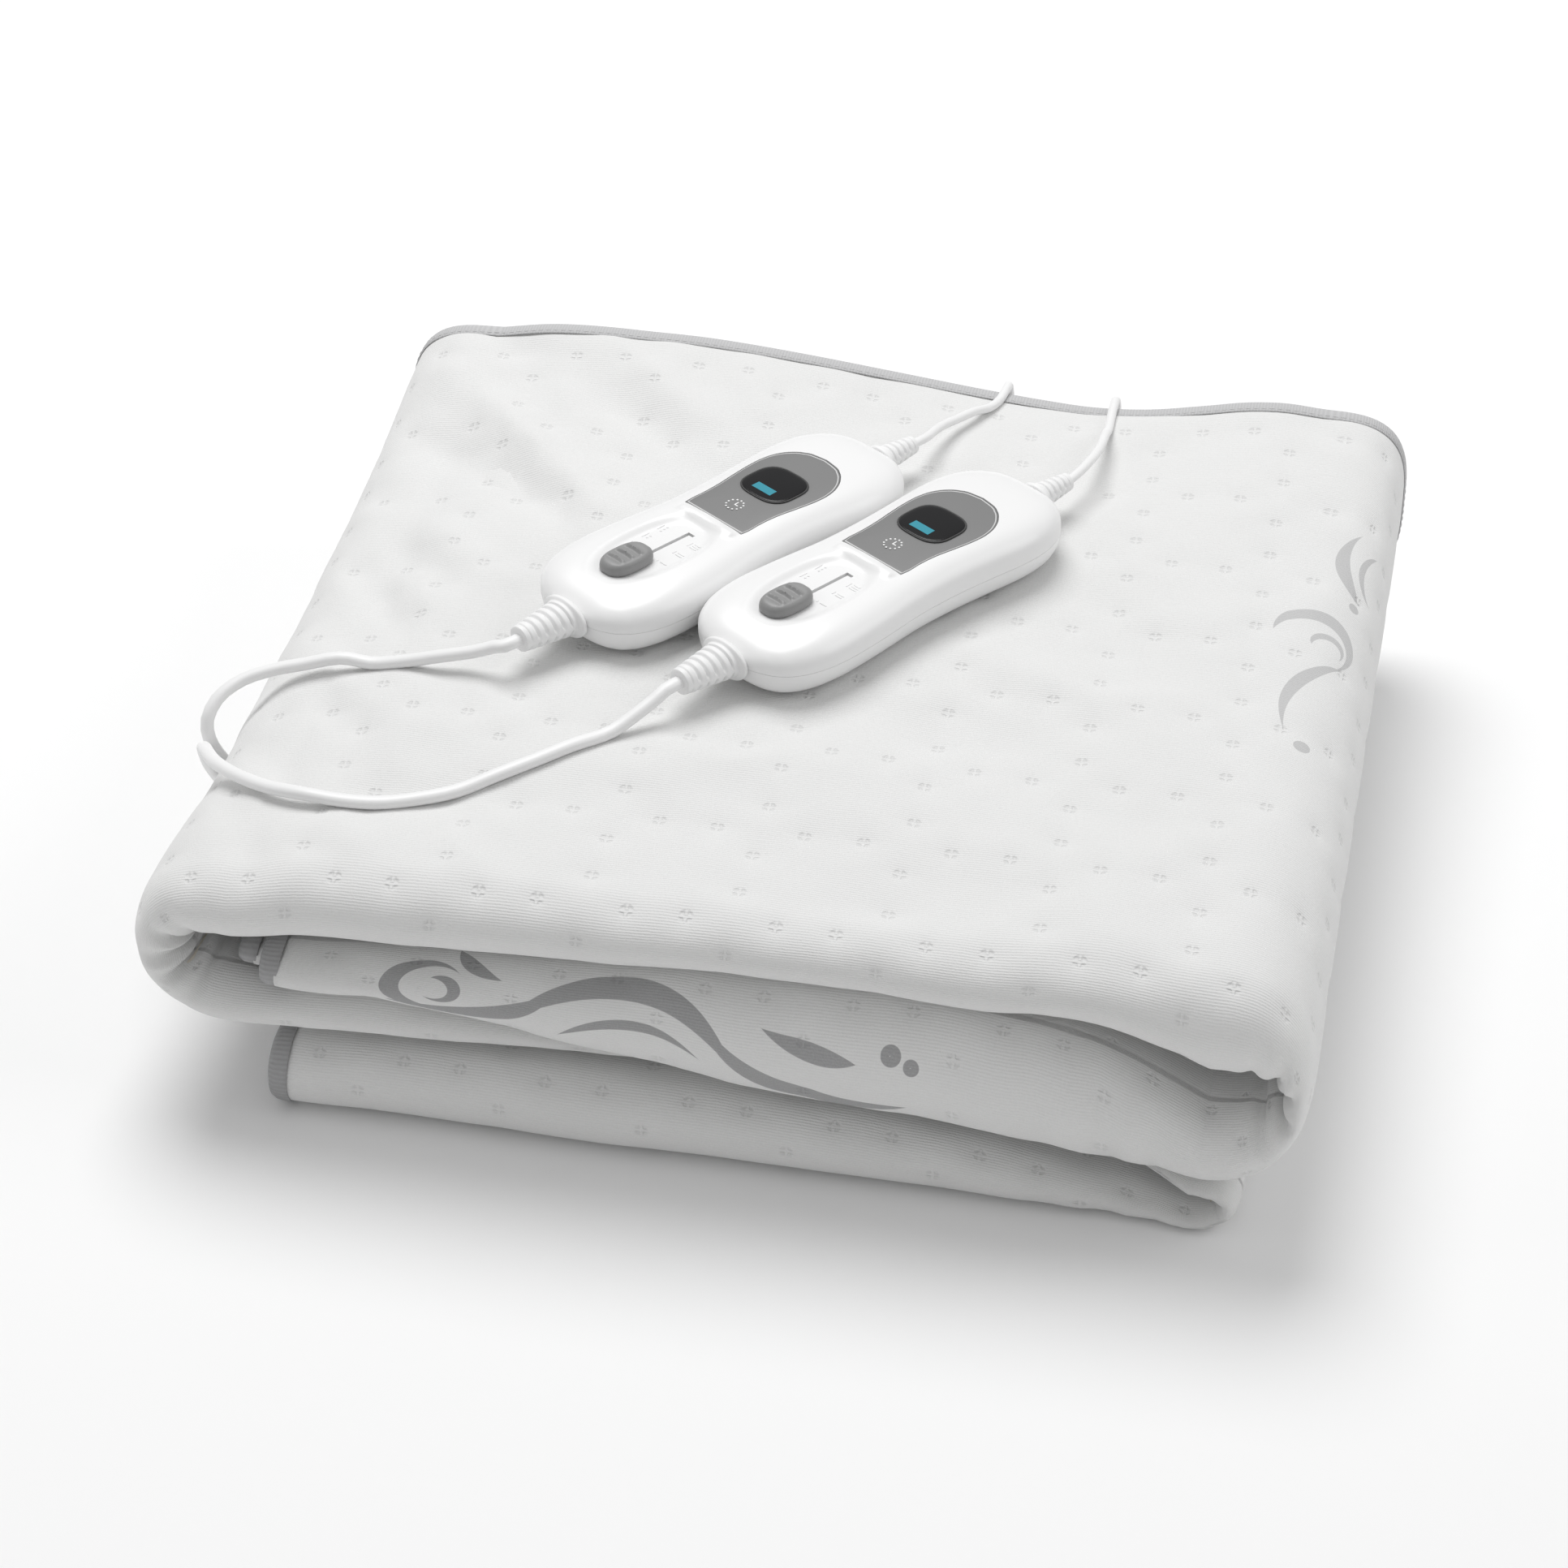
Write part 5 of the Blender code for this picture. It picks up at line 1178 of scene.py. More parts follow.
# one face of a side tape, to its far end and back on the other side of the cloth
def sideFace(middle, out, half, face, least, way):
    side = Vector((-1, 0, 0)) * mm
    loop = []
    for reach, lift in face:
        level = 0.0 if lift is None else max(least, half + lift * mm)
        loop.append(middle + side * reach + out * way * level)
    return loop + [2 * (middle + side * face[i][0]) - loop[i] for i in range(len(face) - 2, -1, -1)]


# tape folded over one raw side; it follows the doubled sheet round its lip and back
def sideTape(name, ringS):
    tape = tapeSpec
    ring = ringAt(ringS)
    rows, coords = [], []
    travel, last = 0.0, None
    for kind, value, outer, inner in sidePath():
        a, b = (plainSpot(ring, *keySpot(ring, kind, value, m)) for m in (outer, inner))
        out, half, middle = (a - b).normalized(), (a - b).length / 2, (a + b) / 2
        extra = Vector((innerShift(ring, kind, value, outer) * mm, 0, 0))
        loop = sideFace(middle, out, half, tape["sideOuter"], 0.0, 1)
        loop += sideFace(middle, out, half, tape["sideInner"], tape["leastHalf"], -1)
        loop = [p + extra for p in loop]
        rows.append([Vector((p.x, p.y, max(tape["floorGap"] * mm, p.z))) for p in loop])
        if last is not None:
            travel += (middle - last).length / mm
        last = middle
        coords.append([(travel, k * tape["aroundStep"]) for k in range(len(loop))])
    return addObject(name, stripMesh(name, rows, coords), endTape)


hemTape = tapeMaterial("hemTape", (0.55, 0.55, 0.555), 1.2 * mm)
endTape = tapeMaterial("endTape", (0.38, 0.38, 0.385), 1.3 * mm)
bindings = {
    "back_hem_outer": backTape("backTapeOuter", 0.5 + sheetSpec["sheetGap"], 1.0),
    "back_hem_inner": backTape("backTapeInner", sheetSpec["foldGap"], 0.5 - sheetSpec["sheetGap"]),
    "side_hem_lower": sideTape("sideTapeLower", sheetEnds[0]),
    "side_hem_upper": sideTape("sideTapeUpper", sheetEnds[1]),
}
for node, tape in bindings.items():
    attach(tape, "folded_stack")
    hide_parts(node)
    print(tape.name, "triangles", trianglesOf(tape.data))

# heating cables: serpentines in the two thicknesses, level in the layer and the solid each replaces
cableSpec = {
    "inset": 24, "turnY": 104.0, "corner": 14.0, "runs": 16, "lipRadius": 16.0, "runSteps": 60,
    "cornerSteps": 12, "wide": 1.6 * mm, "sides": 6,
    "cables": (("heatingCableOuter", 0.76, "heating_cable_left"),
               ("heatingCableInner", 0.25, "heating_cable_right")),
}


# serpentine through one thickness of the sheet, up and round its front lip
def cablePath(level):
    cable, lip = cableSpec, sheetSpec["lipStart"]
    corner, runs, bends = cable["corner"], cable["runs"], cable["cornerSteps"]
    first, last = sheetEnds[0] + cable["inset"], sheetEnds[1] - cable["inset"]
    arc = cable["lipRadius"] * math.pi / 2
    reach = cable["turnY"] - lip + arc - corner
    pitch = (last - first) / (runs - 1)
    track = []
    for run in range(runs):
        s = first + pitch * run
        way = 1 if run % 2 == 0 else -1
        track += [(s, way * reach * (2 * i / cable["runSteps"] - 1)) for i in range(cable["runSteps"] + 1)]
        if run < runs - 1:
            angles = [math.pi * i / bends for i in range(1, bends)]
            track += [(s + pitch / 2 * (1 - math.cos(a)), way * (reach + corner * math.sin(a)))
                      for a in angles]
    points = []
    for s, t in track:
        if abs(t) < arc:
            key = ("lip", math.pi / 2 * (1 - t / arc), level)
        else:
            key = ("flat", lip + abs(t) - arc, math.copysign(level, t))
        points.append(sheetSpot(ringAt(s), key)[0])
    return points


for name, level, node in cableSpec["cables"]:
    wide = cableSpec["wide"]
    cable = flatTube(name, cablePath(level), wide, wide, cableSpec["sides"], 0.0, cableRubber)
    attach(cable, "folded_stack")
    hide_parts(node)

# stitches just behind the front edge of each back tape: level of the cloth's face under them
stitchSpec = {
    "values": {"Pitch": 3.1 * mm, "Half Length": 1.05 * mm, "Thick": 0.24 * mm},
    "behind": 1.6, "lift": 1.05, "step": 4, "segments": 6, "rings": 5,
    "rows": {"stitchesOuter": 1.0, "stitchesInner": 0.5 - sheetSpec["sheetGap"]},
}


def shapeTree(name, inputs):
    tree = bpy.data.node_groups.new(name, "GeometryNodeTree")
    for label, kind in {**inputs, "Material": "Material"}.items():
        tree.interface.new_socket(name=label, in_out="INPUT", socket_type="NodeSocket" + kind)
    tree.interface.new_socket(name="Geometry", in_out="OUTPUT", socket_type="NodeSocketGeometry")
    return tree, tree.nodes.new("NodeGroupInput").outputs, tree.nodes.new("NodeGroupOutput")


# puts one shape on every point, makes it real and gives it the tree's material
def scatterShape(tree, given, end, placing):
    scatter = addNode(tree, "GeometryNodeInstanceOnPoints", placing)
    real = addNode(tree, "GeometryNodeRealizeInstances", {"Geometry": scatter.outputs["Instances"]})
    paint = addNode(tree, "GeometryNodeSetMaterial",
                    {"Geometry": real.outputs["Geometry"], "Material": given["Material"]})
    setInputs(tree, end, {"Geometry": paint.outputs["Geometry"]})


def stitchTree():
    tree, given, end = shapeTree("stitchRow", {
        "Geometry": "Geometry", "Pitch": "Float", "Half Length": "Float", "Thick": "Float"})
    curve = addNode(tree, "GeometryNodeMeshToCurve", {"Mesh": given["Geometry"]})
    even = addNode(tree, "GeometryNodeResampleCurve",
                   {"Curve": curve.outputs["Curve"], "Length": given["Pitch"]}, mode="LENGTH")
    ball = addNode(tree, "GeometryNodeMeshUVSphere", {
        "Segments": stitchSpec["segments"], "Rings": stitchSpec["rings"], "Radius": 1.0})
    tangent = addNode(tree, "GeometryNodeInputTangent")
    align = addNode(tree, "FunctionNodeAlignEulerToVector", {"Vector": tangent.outputs["Tangent"]}, axis="X")
    size = addNode(tree, "ShaderNodeCombineXYZ",
                   {"X": given["Half Length"], "Y": given["Thick"], "Z": given["Thick"]})
    scatterShape(tree, given, end, {
        "Points": even.outputs["Curve"], "Instance": ball.outputs["Mesh"],
        "Rotation": align.outputs["Rotation"], "Scale": size.outputs["Vector"]})
    return tree


# mesh made by a geometry node tree with its inputs set before it is first evaluated
def runNodes(name, tree, values, base=None):
    holder = addObject(name + "Holder", base or bpy.data.meshes.new(name + "Holder"))
    mod = holder.modifiers.new("nodes", "NODES")
    mod.node_group = tree
    for item in tree.interface.items_tree:
        if item.item_type == "SOCKET" and item.in_out == "INPUT" and item.name in values:
            mod[item.identifier] = values[item.name]
    bpy.context.view_layer.update()
    mesh = bpy.data.meshes.new_from_object(holder.evaluated_get(bpy.context.evaluated_depsgraph_get()))
    bpy.data.objects.remove(holder, do_unlink=True)
    mesh.name = name
    return mesh


def stitchLine(level):
    first, last = sheetEnds
    step = stitchSpec["step"]
    y = sheetSpec["backY"] - tapeSpec["reach"] + stitchSpec["behind"]
    points = [plainSpot(ringAt(min(last, first + i * step)), y, level)
              for i in range(round((last - first) / step) + 1)]
    mesh = bpy.data.meshes.new("stitchLine")
    mesh.from_pydata([tuple(p) for p in points], [(i, i + 1) for i in range(len(points) - 1)], [])
    return mesh


def makeStitches():
    tree = stitchTree()
    values = {**stitchSpec["values"], "Material": threadGrey}
    for name, face in stitchSpec["rows"].items():
        line = stitchLine(face + tapeSpec["over"] * stitchSpec["lift"])
        stitches = addObject(name, runNodes(name, tree, values, line))
        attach(stitches, "folded_stack")


makeStitches()
print("bindings, stitches and heating cables made")

cords = {side: (*mainsCord(side), *blanketCord(side)) for side in ("far", "near")}
print("cords made")


# the two hand controllers are drawn lying along x with their tail at -x, in mm, then placed
bodySpec = {
    "half": 78.0, "wide": 30.0, "height": 23.6, "partLine": 11.6, "seam": 0.07,
    "outline": (
        (-1.0, 0.0), (-0.996, 0.17), (-0.984, 0.36), (-0.955, 0.575), (-0.91, 0.745), (-0.84, 0.875),
        (-0.74, 0.965), (-0.62, 1.0), (-0.45, 0.985), (-0.3, 0.95), (-0.12, 0.90), (0.05, 0.885),
        (0.2, 0.895), (0.38, 0.93), (0.55, 0.965), (0.67, 0.955), (0.78, 0.885), (0.87, 0.755),
        (0.93, 0.605), (0.968, 0.44), (0.99, 0.25), (0.997, 0.13), (1.0, 0.0)),
    "rise": ((-1.0, 0.93), (-0.6, 0.955), (-0.1, 0.975), (0.15, 1.0), (0.62, 1.0), (1.0, 0.97)),
    "endPower": (7.5, 9.0), "endRoot": 0.5,
    "archPower": 4.2, "archRoot": 0.40,
    "bellyPower": 5.5, "bellyRoot": 0.55, "bellyEnd": 14, "bellyFlat": 0.35,
    "scoopX": -35.5, "scoopHalfX": 27.5, "scoopHalfY": 15.0, "scoopPower": 2.5, "scoopEdge": 0.74,
    "floor": 20.85, "rimTall": 0.16, "rimAt": 1.035, "rimWide": 0.028,
    "barX": -10.4, "barHalf": 1.9, "barHalfY": 14.6, "barTall": 1.0, "barEnd": 1.4,
    "fasciaFront": -7.2, "fasciaBack": 50.0, "fasciaClear": 0.14, "fasciaSteps": 46,
    "fasciaOutline": (
        (0.0, 15.2), (0.06, 15.5), (0.16, 15.3), (0.30, 15.7), (0.45, 16.9), (0.60, 17.9), (0.72, 17.9),
        (0.82, 16.4), (0.90, 13.4), (0.955, 9.6), (0.985, 5.6), (1.0, 0.0)),
    "fasciaNose": 0.4, "pocketShrink": (0.98, 0.9), "pocketMore": 0.5, "above": 40,
    "slotFront": -58.0, "slotBack": -19.6, "slotDeep": 3.4, "floorTop": 3.1, "floorThick": 0.8,
    # half width, depth and length of the hook at its end, longer in front, skew of the hook
    "slotCut": (0.75, 1.9, 1.3, 0.0, 0.0), "slotFloor": (1.0, 2.1, 1.6, 0.3, 0.1), "leastWidth": 0.2,
    "topAcross": 92, "topAlong": 190, "topPower": 0.72, "lowAcross": 60, "lowAlong": 150, "lowPower": 0.8,
    "baseSteps": 8, "inset": 0.35, "insetShare": 0.3, "lipUnder": 0.12, "sharp": {"top": 38, "bottom": 50},
}
# the window's barrel: middle, corner power, waist; glass, and outer and inner edge of its bezel
windowSpec = {
    "x": 23.5, "power": 3.3, "waist": 0.09, "steps": 56,
    "glass": (10.2, 11.3), "bezelOuter": (10.75, 11.85), "bezelInner": (10.1, 11.2),
}
# plates on the roof: share of the loop and drop of the rim, then rings, lift, depth and doming of each
plateRim = ((1.0, -0.25), (0.985, -0.07), (0.96, 0.0))
plateSpec = {"fascia": (14, -0.12, 1.1, 0.0), "glass": (8, 0.42, 1.2, 0.15)}
# band on the roof: share from outer to inner loop, height
bandSection = ((0.0, -0.4), (0.0, -0.05), (0.25, 0.03), (0.75, 0.03), (1.0, -0.05), (1.0, -0.4))
ringSpread = 1.1
squareCorners = ((-1, -1), (1, -1), (1, 1), (-1, 1))
knobSpec = {
    "x": -49, "halfX": 10.4, "halfY": 6.7, "tall": 4.4, "base": 21.2, "power": 2.7, "steps": 72,
    "profile": ((0.90, 0.0), (0.975, 0.05), (1.0, 0.18), (1.0, 0.42), (0.985, 0.62), (0.955, 0.78),
                (0.905, 0.895), (0.84, 0.96), (0.76, 0.99)),
    "flat": 0.76, "flatRings": 15, "carveFrom": 0.9, "bow": 0.0175, "dish": 0.25,
    "ridges": (-4.3, 0.0, 4.3), "ridge": (0.85, 0.0, 0.55, 3.6, 4.6), "trough": (-0.3, 1.3, 0.7, 3.4, 4.8),
    "stem": ((-6.5, -0.5), (6.5, -0.5), (6.9, 0.0), (6.5, 0.5), (-6.5, 0.5), (-6.9, 0.0)),
    "stemLow": -7.0, "stemHigh": 0.6, "sharp": 50,
}
# level marks beside the slot, one to three strokes each: place and half size of each kind
markSpec = {
    "levels": (-39.0, -31.0, -23.5), "low": -0.4, "bevel": 0.72, "bevelAt": 0.55, "corner": 0.86,
    "strokes": (1.25, -8.6, 0.34, 1.75, 0, 0.24), "diamonds": (1.6, 8.4, 0.45, 0.45, 0.785, 0.24),
    "underline": (-5.7, 0.22, 0.2), "overline": (10.2, 1.9, 0.22, 0.2), "lineHalf": (0.6, 0.5),
}
bootSpec = {
    "steps": 56, "rings": 150, "waist": (0.80, 0.90), "taper": 0.9, "flangeAt": 1.1, "flangeHalf": 1.15,
    "ribStart": 4.2, "ribEnds": 6.0, "ribIn": (-0.3, 0.1), "ribOut": (-0.5, -0.1),
    "groovePower": 4, "groove": 0.2, "spine": 0.22,
    "roundEnd": 0.985, "least": 0.01, "axis": 0.05,
    "mains": {"start": -77.0, "way": -1, "length": 23.0, "wide": 22.5, "tall": 14.6, "small": 9.6, "ribs": 5},
    "blanket": {"start": 77.0, "way": 1, "length": 18.2, "wide": 14.4, "tall": 11.4, "small": 6.8, "ribs": 4},
}
# timer sign and lit bar: middle, half size of each hand, levels
signSpec = {
    "middle": (4.2, 0.6), "dots": 12, "radius": 3.3 * mm, "dot": 0.44 * mm, "flatten": (1, 1, 0.35),
    "sunk": 0.08, "hands": ((0.85, 0, 1.1, 0.24), (0, -0.7, 0.24, 0.9)),
    "handLevels": ((1.0, -0.22), (1.0, -0.07)),
    "bar": (18.6, 0.3, 1.9, 4.9), "barLevels": ((1.0, 0.2), (1.0, 0.50), (0.97, 0.56)),
    "rim": (0.955, 0.975), "rimLift": -0.06, "bezelLift": 0.36,
}


def bodyWidth(x):
    return bodySpec["wide"] * max(0.0, smoothTable(x / bodySpec["half"], *zip(*bodySpec["outline"])))


def domeZ(x, y):
    spec = bodySpec
    t = min(1.0, abs(y) / max(spec["leastWidth"], bodyWidth(x)))
    rise = smoothTable(x / spec["half"], *zip(*spec["rise"]))
    end = (1 - abs(x / spec["half"]) ** spec["endPower"][0 if x < 0 else 1]) ** spec["endRoot"]
    arch = (1 - t ** spec["archPower"]) ** spec["archRoot"]
    return spec["partLine"] + (spec["height"] * rise - spec["partLine"]) * end * arch


# the dome with the oval recess round the slot, its soft rim, and the bar before the plate
def roofZ(x, y):
    spec = bodySpec
    p = spec["scoopPower"]
    r = (abs((x - spec["scoopX"]) / spec["scoopHalfX"]) ** p + abs(y / spec["scoopHalfY"]) ** p) ** (1 / p)
    inside = 1 - softStep(r, spec["scoopEdge"], 1.0)
    z = domeZ(x, y) + spec["rimTall"] * math.exp(-((r - spec["rimAt"]) / spec["rimWide"]) ** 2)
    z = z * (1 - inside) + min(z, spec["floor"]) * inside
    bar = math.exp(-((x - spec["barX"]) / spec["barHalf"]) ** 4)
    aside = softStep(abs(y), spec["barHalfY"] - spec["barEnd"], spec["barHalfY"])
    return z + spec["barTall"] * bar * (1 - aside)


def bodyStations(count):
    return [bodySpec["half"] * math.sin(math.pi / 2 * u) for u in np.linspace(-1, 1, count)][1:-1]


# skin over equal closed loops, its two end loops drawn to a point
def closedLoft(name, rows, sharp=None):
    count = len(rows[0])
    verts = [Vector(p) * mm for row in rows for p in row]
    faces = bandFaces(len(rows), count)
    tips = []
    for base in (0, (len(rows) - 1) * count):
        faces += fanFaces(len(verts) + len(tips), base, count)
        tips.append(sum(verts[base:base + count], Vector()) / count)
    return solidMesh(name, verts + tips, faces, bool(sharp), sharp)


# upper housing: arch over the seam, flat below
def shellTop():
    spec = bodySpec
    across, line, seam = spec["topAcross"], spec["partLine"], spec["seam"]
    under, steps = line + seam - spec["lipUnder"], spec["baseSteps"]
    rows = []
    for x in bodyStations(spec["topAlong"]):
        wide = bodyWidth(x)
        row = []
        for k in range(across + 1):
            c = math.cos(math.pi * k / across)
            y = wide * math.copysign(abs(c) ** spec["topPower"], c)
            z = roofZ(x, y) if k not in (0, across) else line
            row.append((x, y, max(z, line + seam)))
        half = wide - min(spec["inset"], wide * spec["insetShare"])
        rows.append(row + [(x, half * (-1 + 2 * k / steps), under) for k in range(steps + 1)])
    return closedLoft("shellTop", rows)


# lower housing: flat base rising into the seam
def shellBottom():
    spec = bodySpec
    across, steps, flat = spec["lowAcross"], spec["baseSteps"], spec["bellyFlat"]
    top = spec["partLine"] - spec["seam"]
    rows = []
    for x in bodyStations(spec["lowAlong"]):
        wide = bodyWidth(x)
        end = flat + (1 - flat) * max(0.0, 1 - abs(x / spec["half"]) ** spec["bellyEnd"])
        row = []
        for k in range(across + 1):
            t = math.cos(math.pi * k / across)
            depth = (1 - abs(t) ** spec["bellyPower"]) ** spec["bellyRoot"]
            row.append((x, wide * math.copysign(abs(t) ** spec["lowPower"], t), top - top * depth * end))
        rows.append(row + [(x, wide * (-1 + 2 * k / steps), top) for k in range(1, steps)])
    return closedLoft("shellBottom", rows, spec["sharp"]["bottom"])


# the plate's outline, pushed outwards by grow
def fasciaLoop(grow):
    spec = bodySpec
    front, back, count = spec["fasciaFront"], spec["fasciaBack"], spec["fasciaSteps"]
    side = []
    for i in range(count + 1):
        share = 0.5 - 0.5 * math.cos(math.pi * i / count)
        side.append((front + (back - front) * share,
                     max(0.0, smoothTable(share, *zip(*spec["fasciaOutline"])))))
    side[0] = (side[0][0], side[0][1] - spec["fasciaNose"])
    loop = side + [(x, -y) for x, y in side[-2::-1]]
    middle = sum(p[0] for p in loop) / len(loop)
    grown = []
    for i, (x, y) in enumerate(loop):
        a, b = loop[i - 1], loop[(i + 1) % len(loop)]
        nx, ny = b[1] - a[1], a[0] - b[0]
        size = math.hypot(nx, ny) or 1.0
        push = grow / size if nx * (x - middle) + ny * y >= 0 else -grow / size
        grown.append((x + nx * push, y + ny * push))
    return grown


# upright solid between two heights given point by point
def prism(name, loop, lows, highs):
    n = len(loop)
    verts = [Vector((x, y, z)) * mm for heights in (lows, highs) for (x, y), z in zip(loop, heights)]
    faces = [tuple(range(n))[::-1], tuple(range(n, 2 * n)), *bandFaces(2, n)]
    return solidMesh(name, verts, faces, smooth=False)


def levelPrism(name, loop, low, high):
    return prism(name, loop, [low] * len(loop), [high] * len(loop))


# the mesh less each cutter, by exact booleans
def cutMesh(mesh, cutters):
    base = addObject("cutBase", mesh)
    tools = []
    for i, cutter in enumerate(cutters):
        tool = addObject(f"cutTool{i}", cutter)
        mod = base.modifiers.new(f"cut{i}", "BOOLEAN")
        mod.operation, mod.solver, mod.object = "DIFFERENCE", "EXACT", tool
        tools.append(tool)
    bpy.context.view_layer.update()
    result = bpy.data.meshes.new_from_object(base.evaluated_get(bpy.context.evaluated_depsgraph_get()))
    for item in (base, *tools):
        bpy.data.objects.remove(item, do_unlink=True)
    return result


def slotLoop(half, deep, back, front, skew):
    spec = bodySpec
    x0, x1, x2 = spec["slotFront"] - front, spec["slotBack"], spec["slotBack"] + back
    return [(x0, -half), (x1, -half), (x1 - skew, -half - deep), (x2, -half - deep), (x2, half), (x0, half)]


# plate whose top follows the roof, with rounded rim and flat underside
def drapedPatch(name, loop):
    rings, lift, deep, domed = plateSpec[name]
    n = len(loop)
    cx = sum(p[0] for p in loop) / n
    inner = plateRim[-1][0]
    levels = [(1.0, -deep), *plateRim]
    levels += [(inner * (1 - (i / rings) ** ringSpread), 0.0) for i in range(1, rings)]
    verts = []
    for share, drop in levels:
        for x, y in loop:
            px, py = cx + (x - cx) * share, y * share
            verts.append(Vector((px, py, domeZ(px, py) + lift + drop + domed * (1 - share * share))) * mm)
    base = (len(levels) - 1) * n
    faces = bandFaces(len(levels), n)
    faces += fanFaces(len(verts), base, n) + fanFaces(len(verts) + 1, 0, n, True)
    roof = domeZ(cx, 0) + lift
    verts += [Vector((cx, 0, roof + domed)) * mm, Vector((cx, 0, roof - deep)) * mm]
    return solidMesh(name, verts, faces)


# barrel: bowed long sides and clipped corners
def windowLoop(halfX, halfY):
    spec = windowSpec
    power = spec["power"]
    loop = []
    for i in range(spec["steps"]):
        a = math.tau * (i + 0.5) / spec["steps"]
        c, s = math.cos(a), math.sin(a)
        scale = 1 / (abs(c / halfX) ** power + abs(s / halfY) ** power) ** (1 / power)
        loop.append((spec["x"] + c * scale * (1 - spec["waist"] * abs(s) ** 3), s * scale))
    return loop


# low rounded band between two loops on the roof
def ringBand(outer, inner, lift):
    n, turns = len(outer), len(bandSection)
    verts = []
    for share, up in bandSection:
        for (xo, yo), (xi, yi) in zip(outer, inner):
            x, y = xo + (xi - xo) * share, yo + (yi - yo) * share
            verts.append(Vector((x, y, domeZ(x, y) + lift + up)) * mm)
    faces = bandFaces(turns, n)
    base = (turns - 1) * n
    faces += [(base + k, base + (k + 1) % n, (k + 1) % n, k) for k in range(n)]
    return solidMesh("band", verts, faces)


def knobCarving(x, y):
    spec = knobSpec
    bow = x + spec["bow"] * y * y
    z = spec["dish"] * (x / spec["halfX"]) ** 2
    for pitch in spec["ridges"]:
        for height, shift, half, inside, outside in (spec["ridge"], spec["trough"]):
            across = math.exp(-((bow - pitch + shift) / half) ** 2)
            z += height * across * (1 - softStep(abs(y), inside, outside))
    return z


# oval thumb piece with three finger ridges, and a stem below
def knobMesh():
    spec = knobSpec
    steps, base, power = spec["steps"], spec["base"], spec["power"]
    profile = [*spec["profile"]]
    profile += [(spec["flat"] * (1 - i / spec["flatRings"]), 1.0) for i in range(1, spec["flatRings"])]
    verts = []
    for share, up in profile:
        for k in range(steps):
            c, s = math.cos(math.tau * k / steps), math.sin(math.tau * k / steps)
            scale = share / (abs(c) ** power + abs(s) ** power) ** (1 / power)
            x, y = spec["halfX"] * c * scale, spec["halfY"] * s * scale
            z = base + spec["tall"] * up + (knobCarving(x, y) if up > spec["carveFrom"] else 0.0)
            verts.append((spec["x"] + x, y, z))
    tip = len(verts)
    faces = bandFaces(len(profile), steps)
    faces += fanFaces(tip, tip - steps, steps) + fanFaces(tip + 1, 0, steps, True)
    verts += [(spec["x"], 0, base + spec["tall"]), (spec["x"], 0, base)]
    low, n = len(verts), len(spec["stem"])
    for z in (spec["stemLow"], spec["stemHigh"]):
        verts += [(spec["x"] + x, y, base + z) for x, y in spec["stem"]]
    faces += [tuple(range(low, low + n))[::-1], tuple(range(low + n, low + 2 * n)), *bandFaces(2, n, low)]
    return solidMesh("knob", [Vector(p) * mm for p in verts], faces, sharp=spec["sharp"])


# small raised bar with a bevelled top, on the roof
def boxPatch(verts, faces, place, half, turn, tall):
    spec = markSpec
    c, s = math.cos(turn), math.sin(turn)
    base = len(verts)
    for grow, up in ((1.0, spec["low"]), (1.0, tall * spec["bevelAt"]), (spec["bevel"], tall)):
        gx, gy = (size - min(half) * (1 - grow) for size in half)
        for u, v in ((-1, -1), (0, -1), (1, -1), (1, 0), (1, 1), (0, 1), (-1, 1), (-1, 0)):
            k = spec["corner"] if u and v else 1.0
            x, y = place[0] + (u * gx * c - v * gy * s) * k, place[1] + (u * gx * s + v * gy * c) * k
            verts.append(Vector((x, y, roofZ(x, y) + up)) * mm)
    faces += bandFaces(3, 8, base)
    faces += [tuple(range(base, base + 8))[::-1], tuple(range(base + 16, base + 24))]


# raised level strokes on one side of the slot, diamonds on the other
def marksMesh():
    spec = markSpec
    verts, faces = [], []
    for i, x in enumerate(spec["levels"]):
        for pitch, y, halfX, halfY, turn, tall in (spec["strokes"], spec["diamonds"]):
            for k in range(i + 1):
                boxPatch(verts, faces, (x + (k - i / 2) * pitch, y), (halfX, halfY), turn, tall)
        y, half, tall = spec["underline"]
        boxPatch(verts, faces, (x, y), (spec["lineHalf"][0] + spec["lineHalf"][1] * i, half), 0, tall)
        y, halfX, halfY, tall = spec["overline"]
        boxPatch(verts, faces, (x, y), (halfX, halfY), 0, tall)
    return solidMesh("marks", verts, faces, smooth=False)


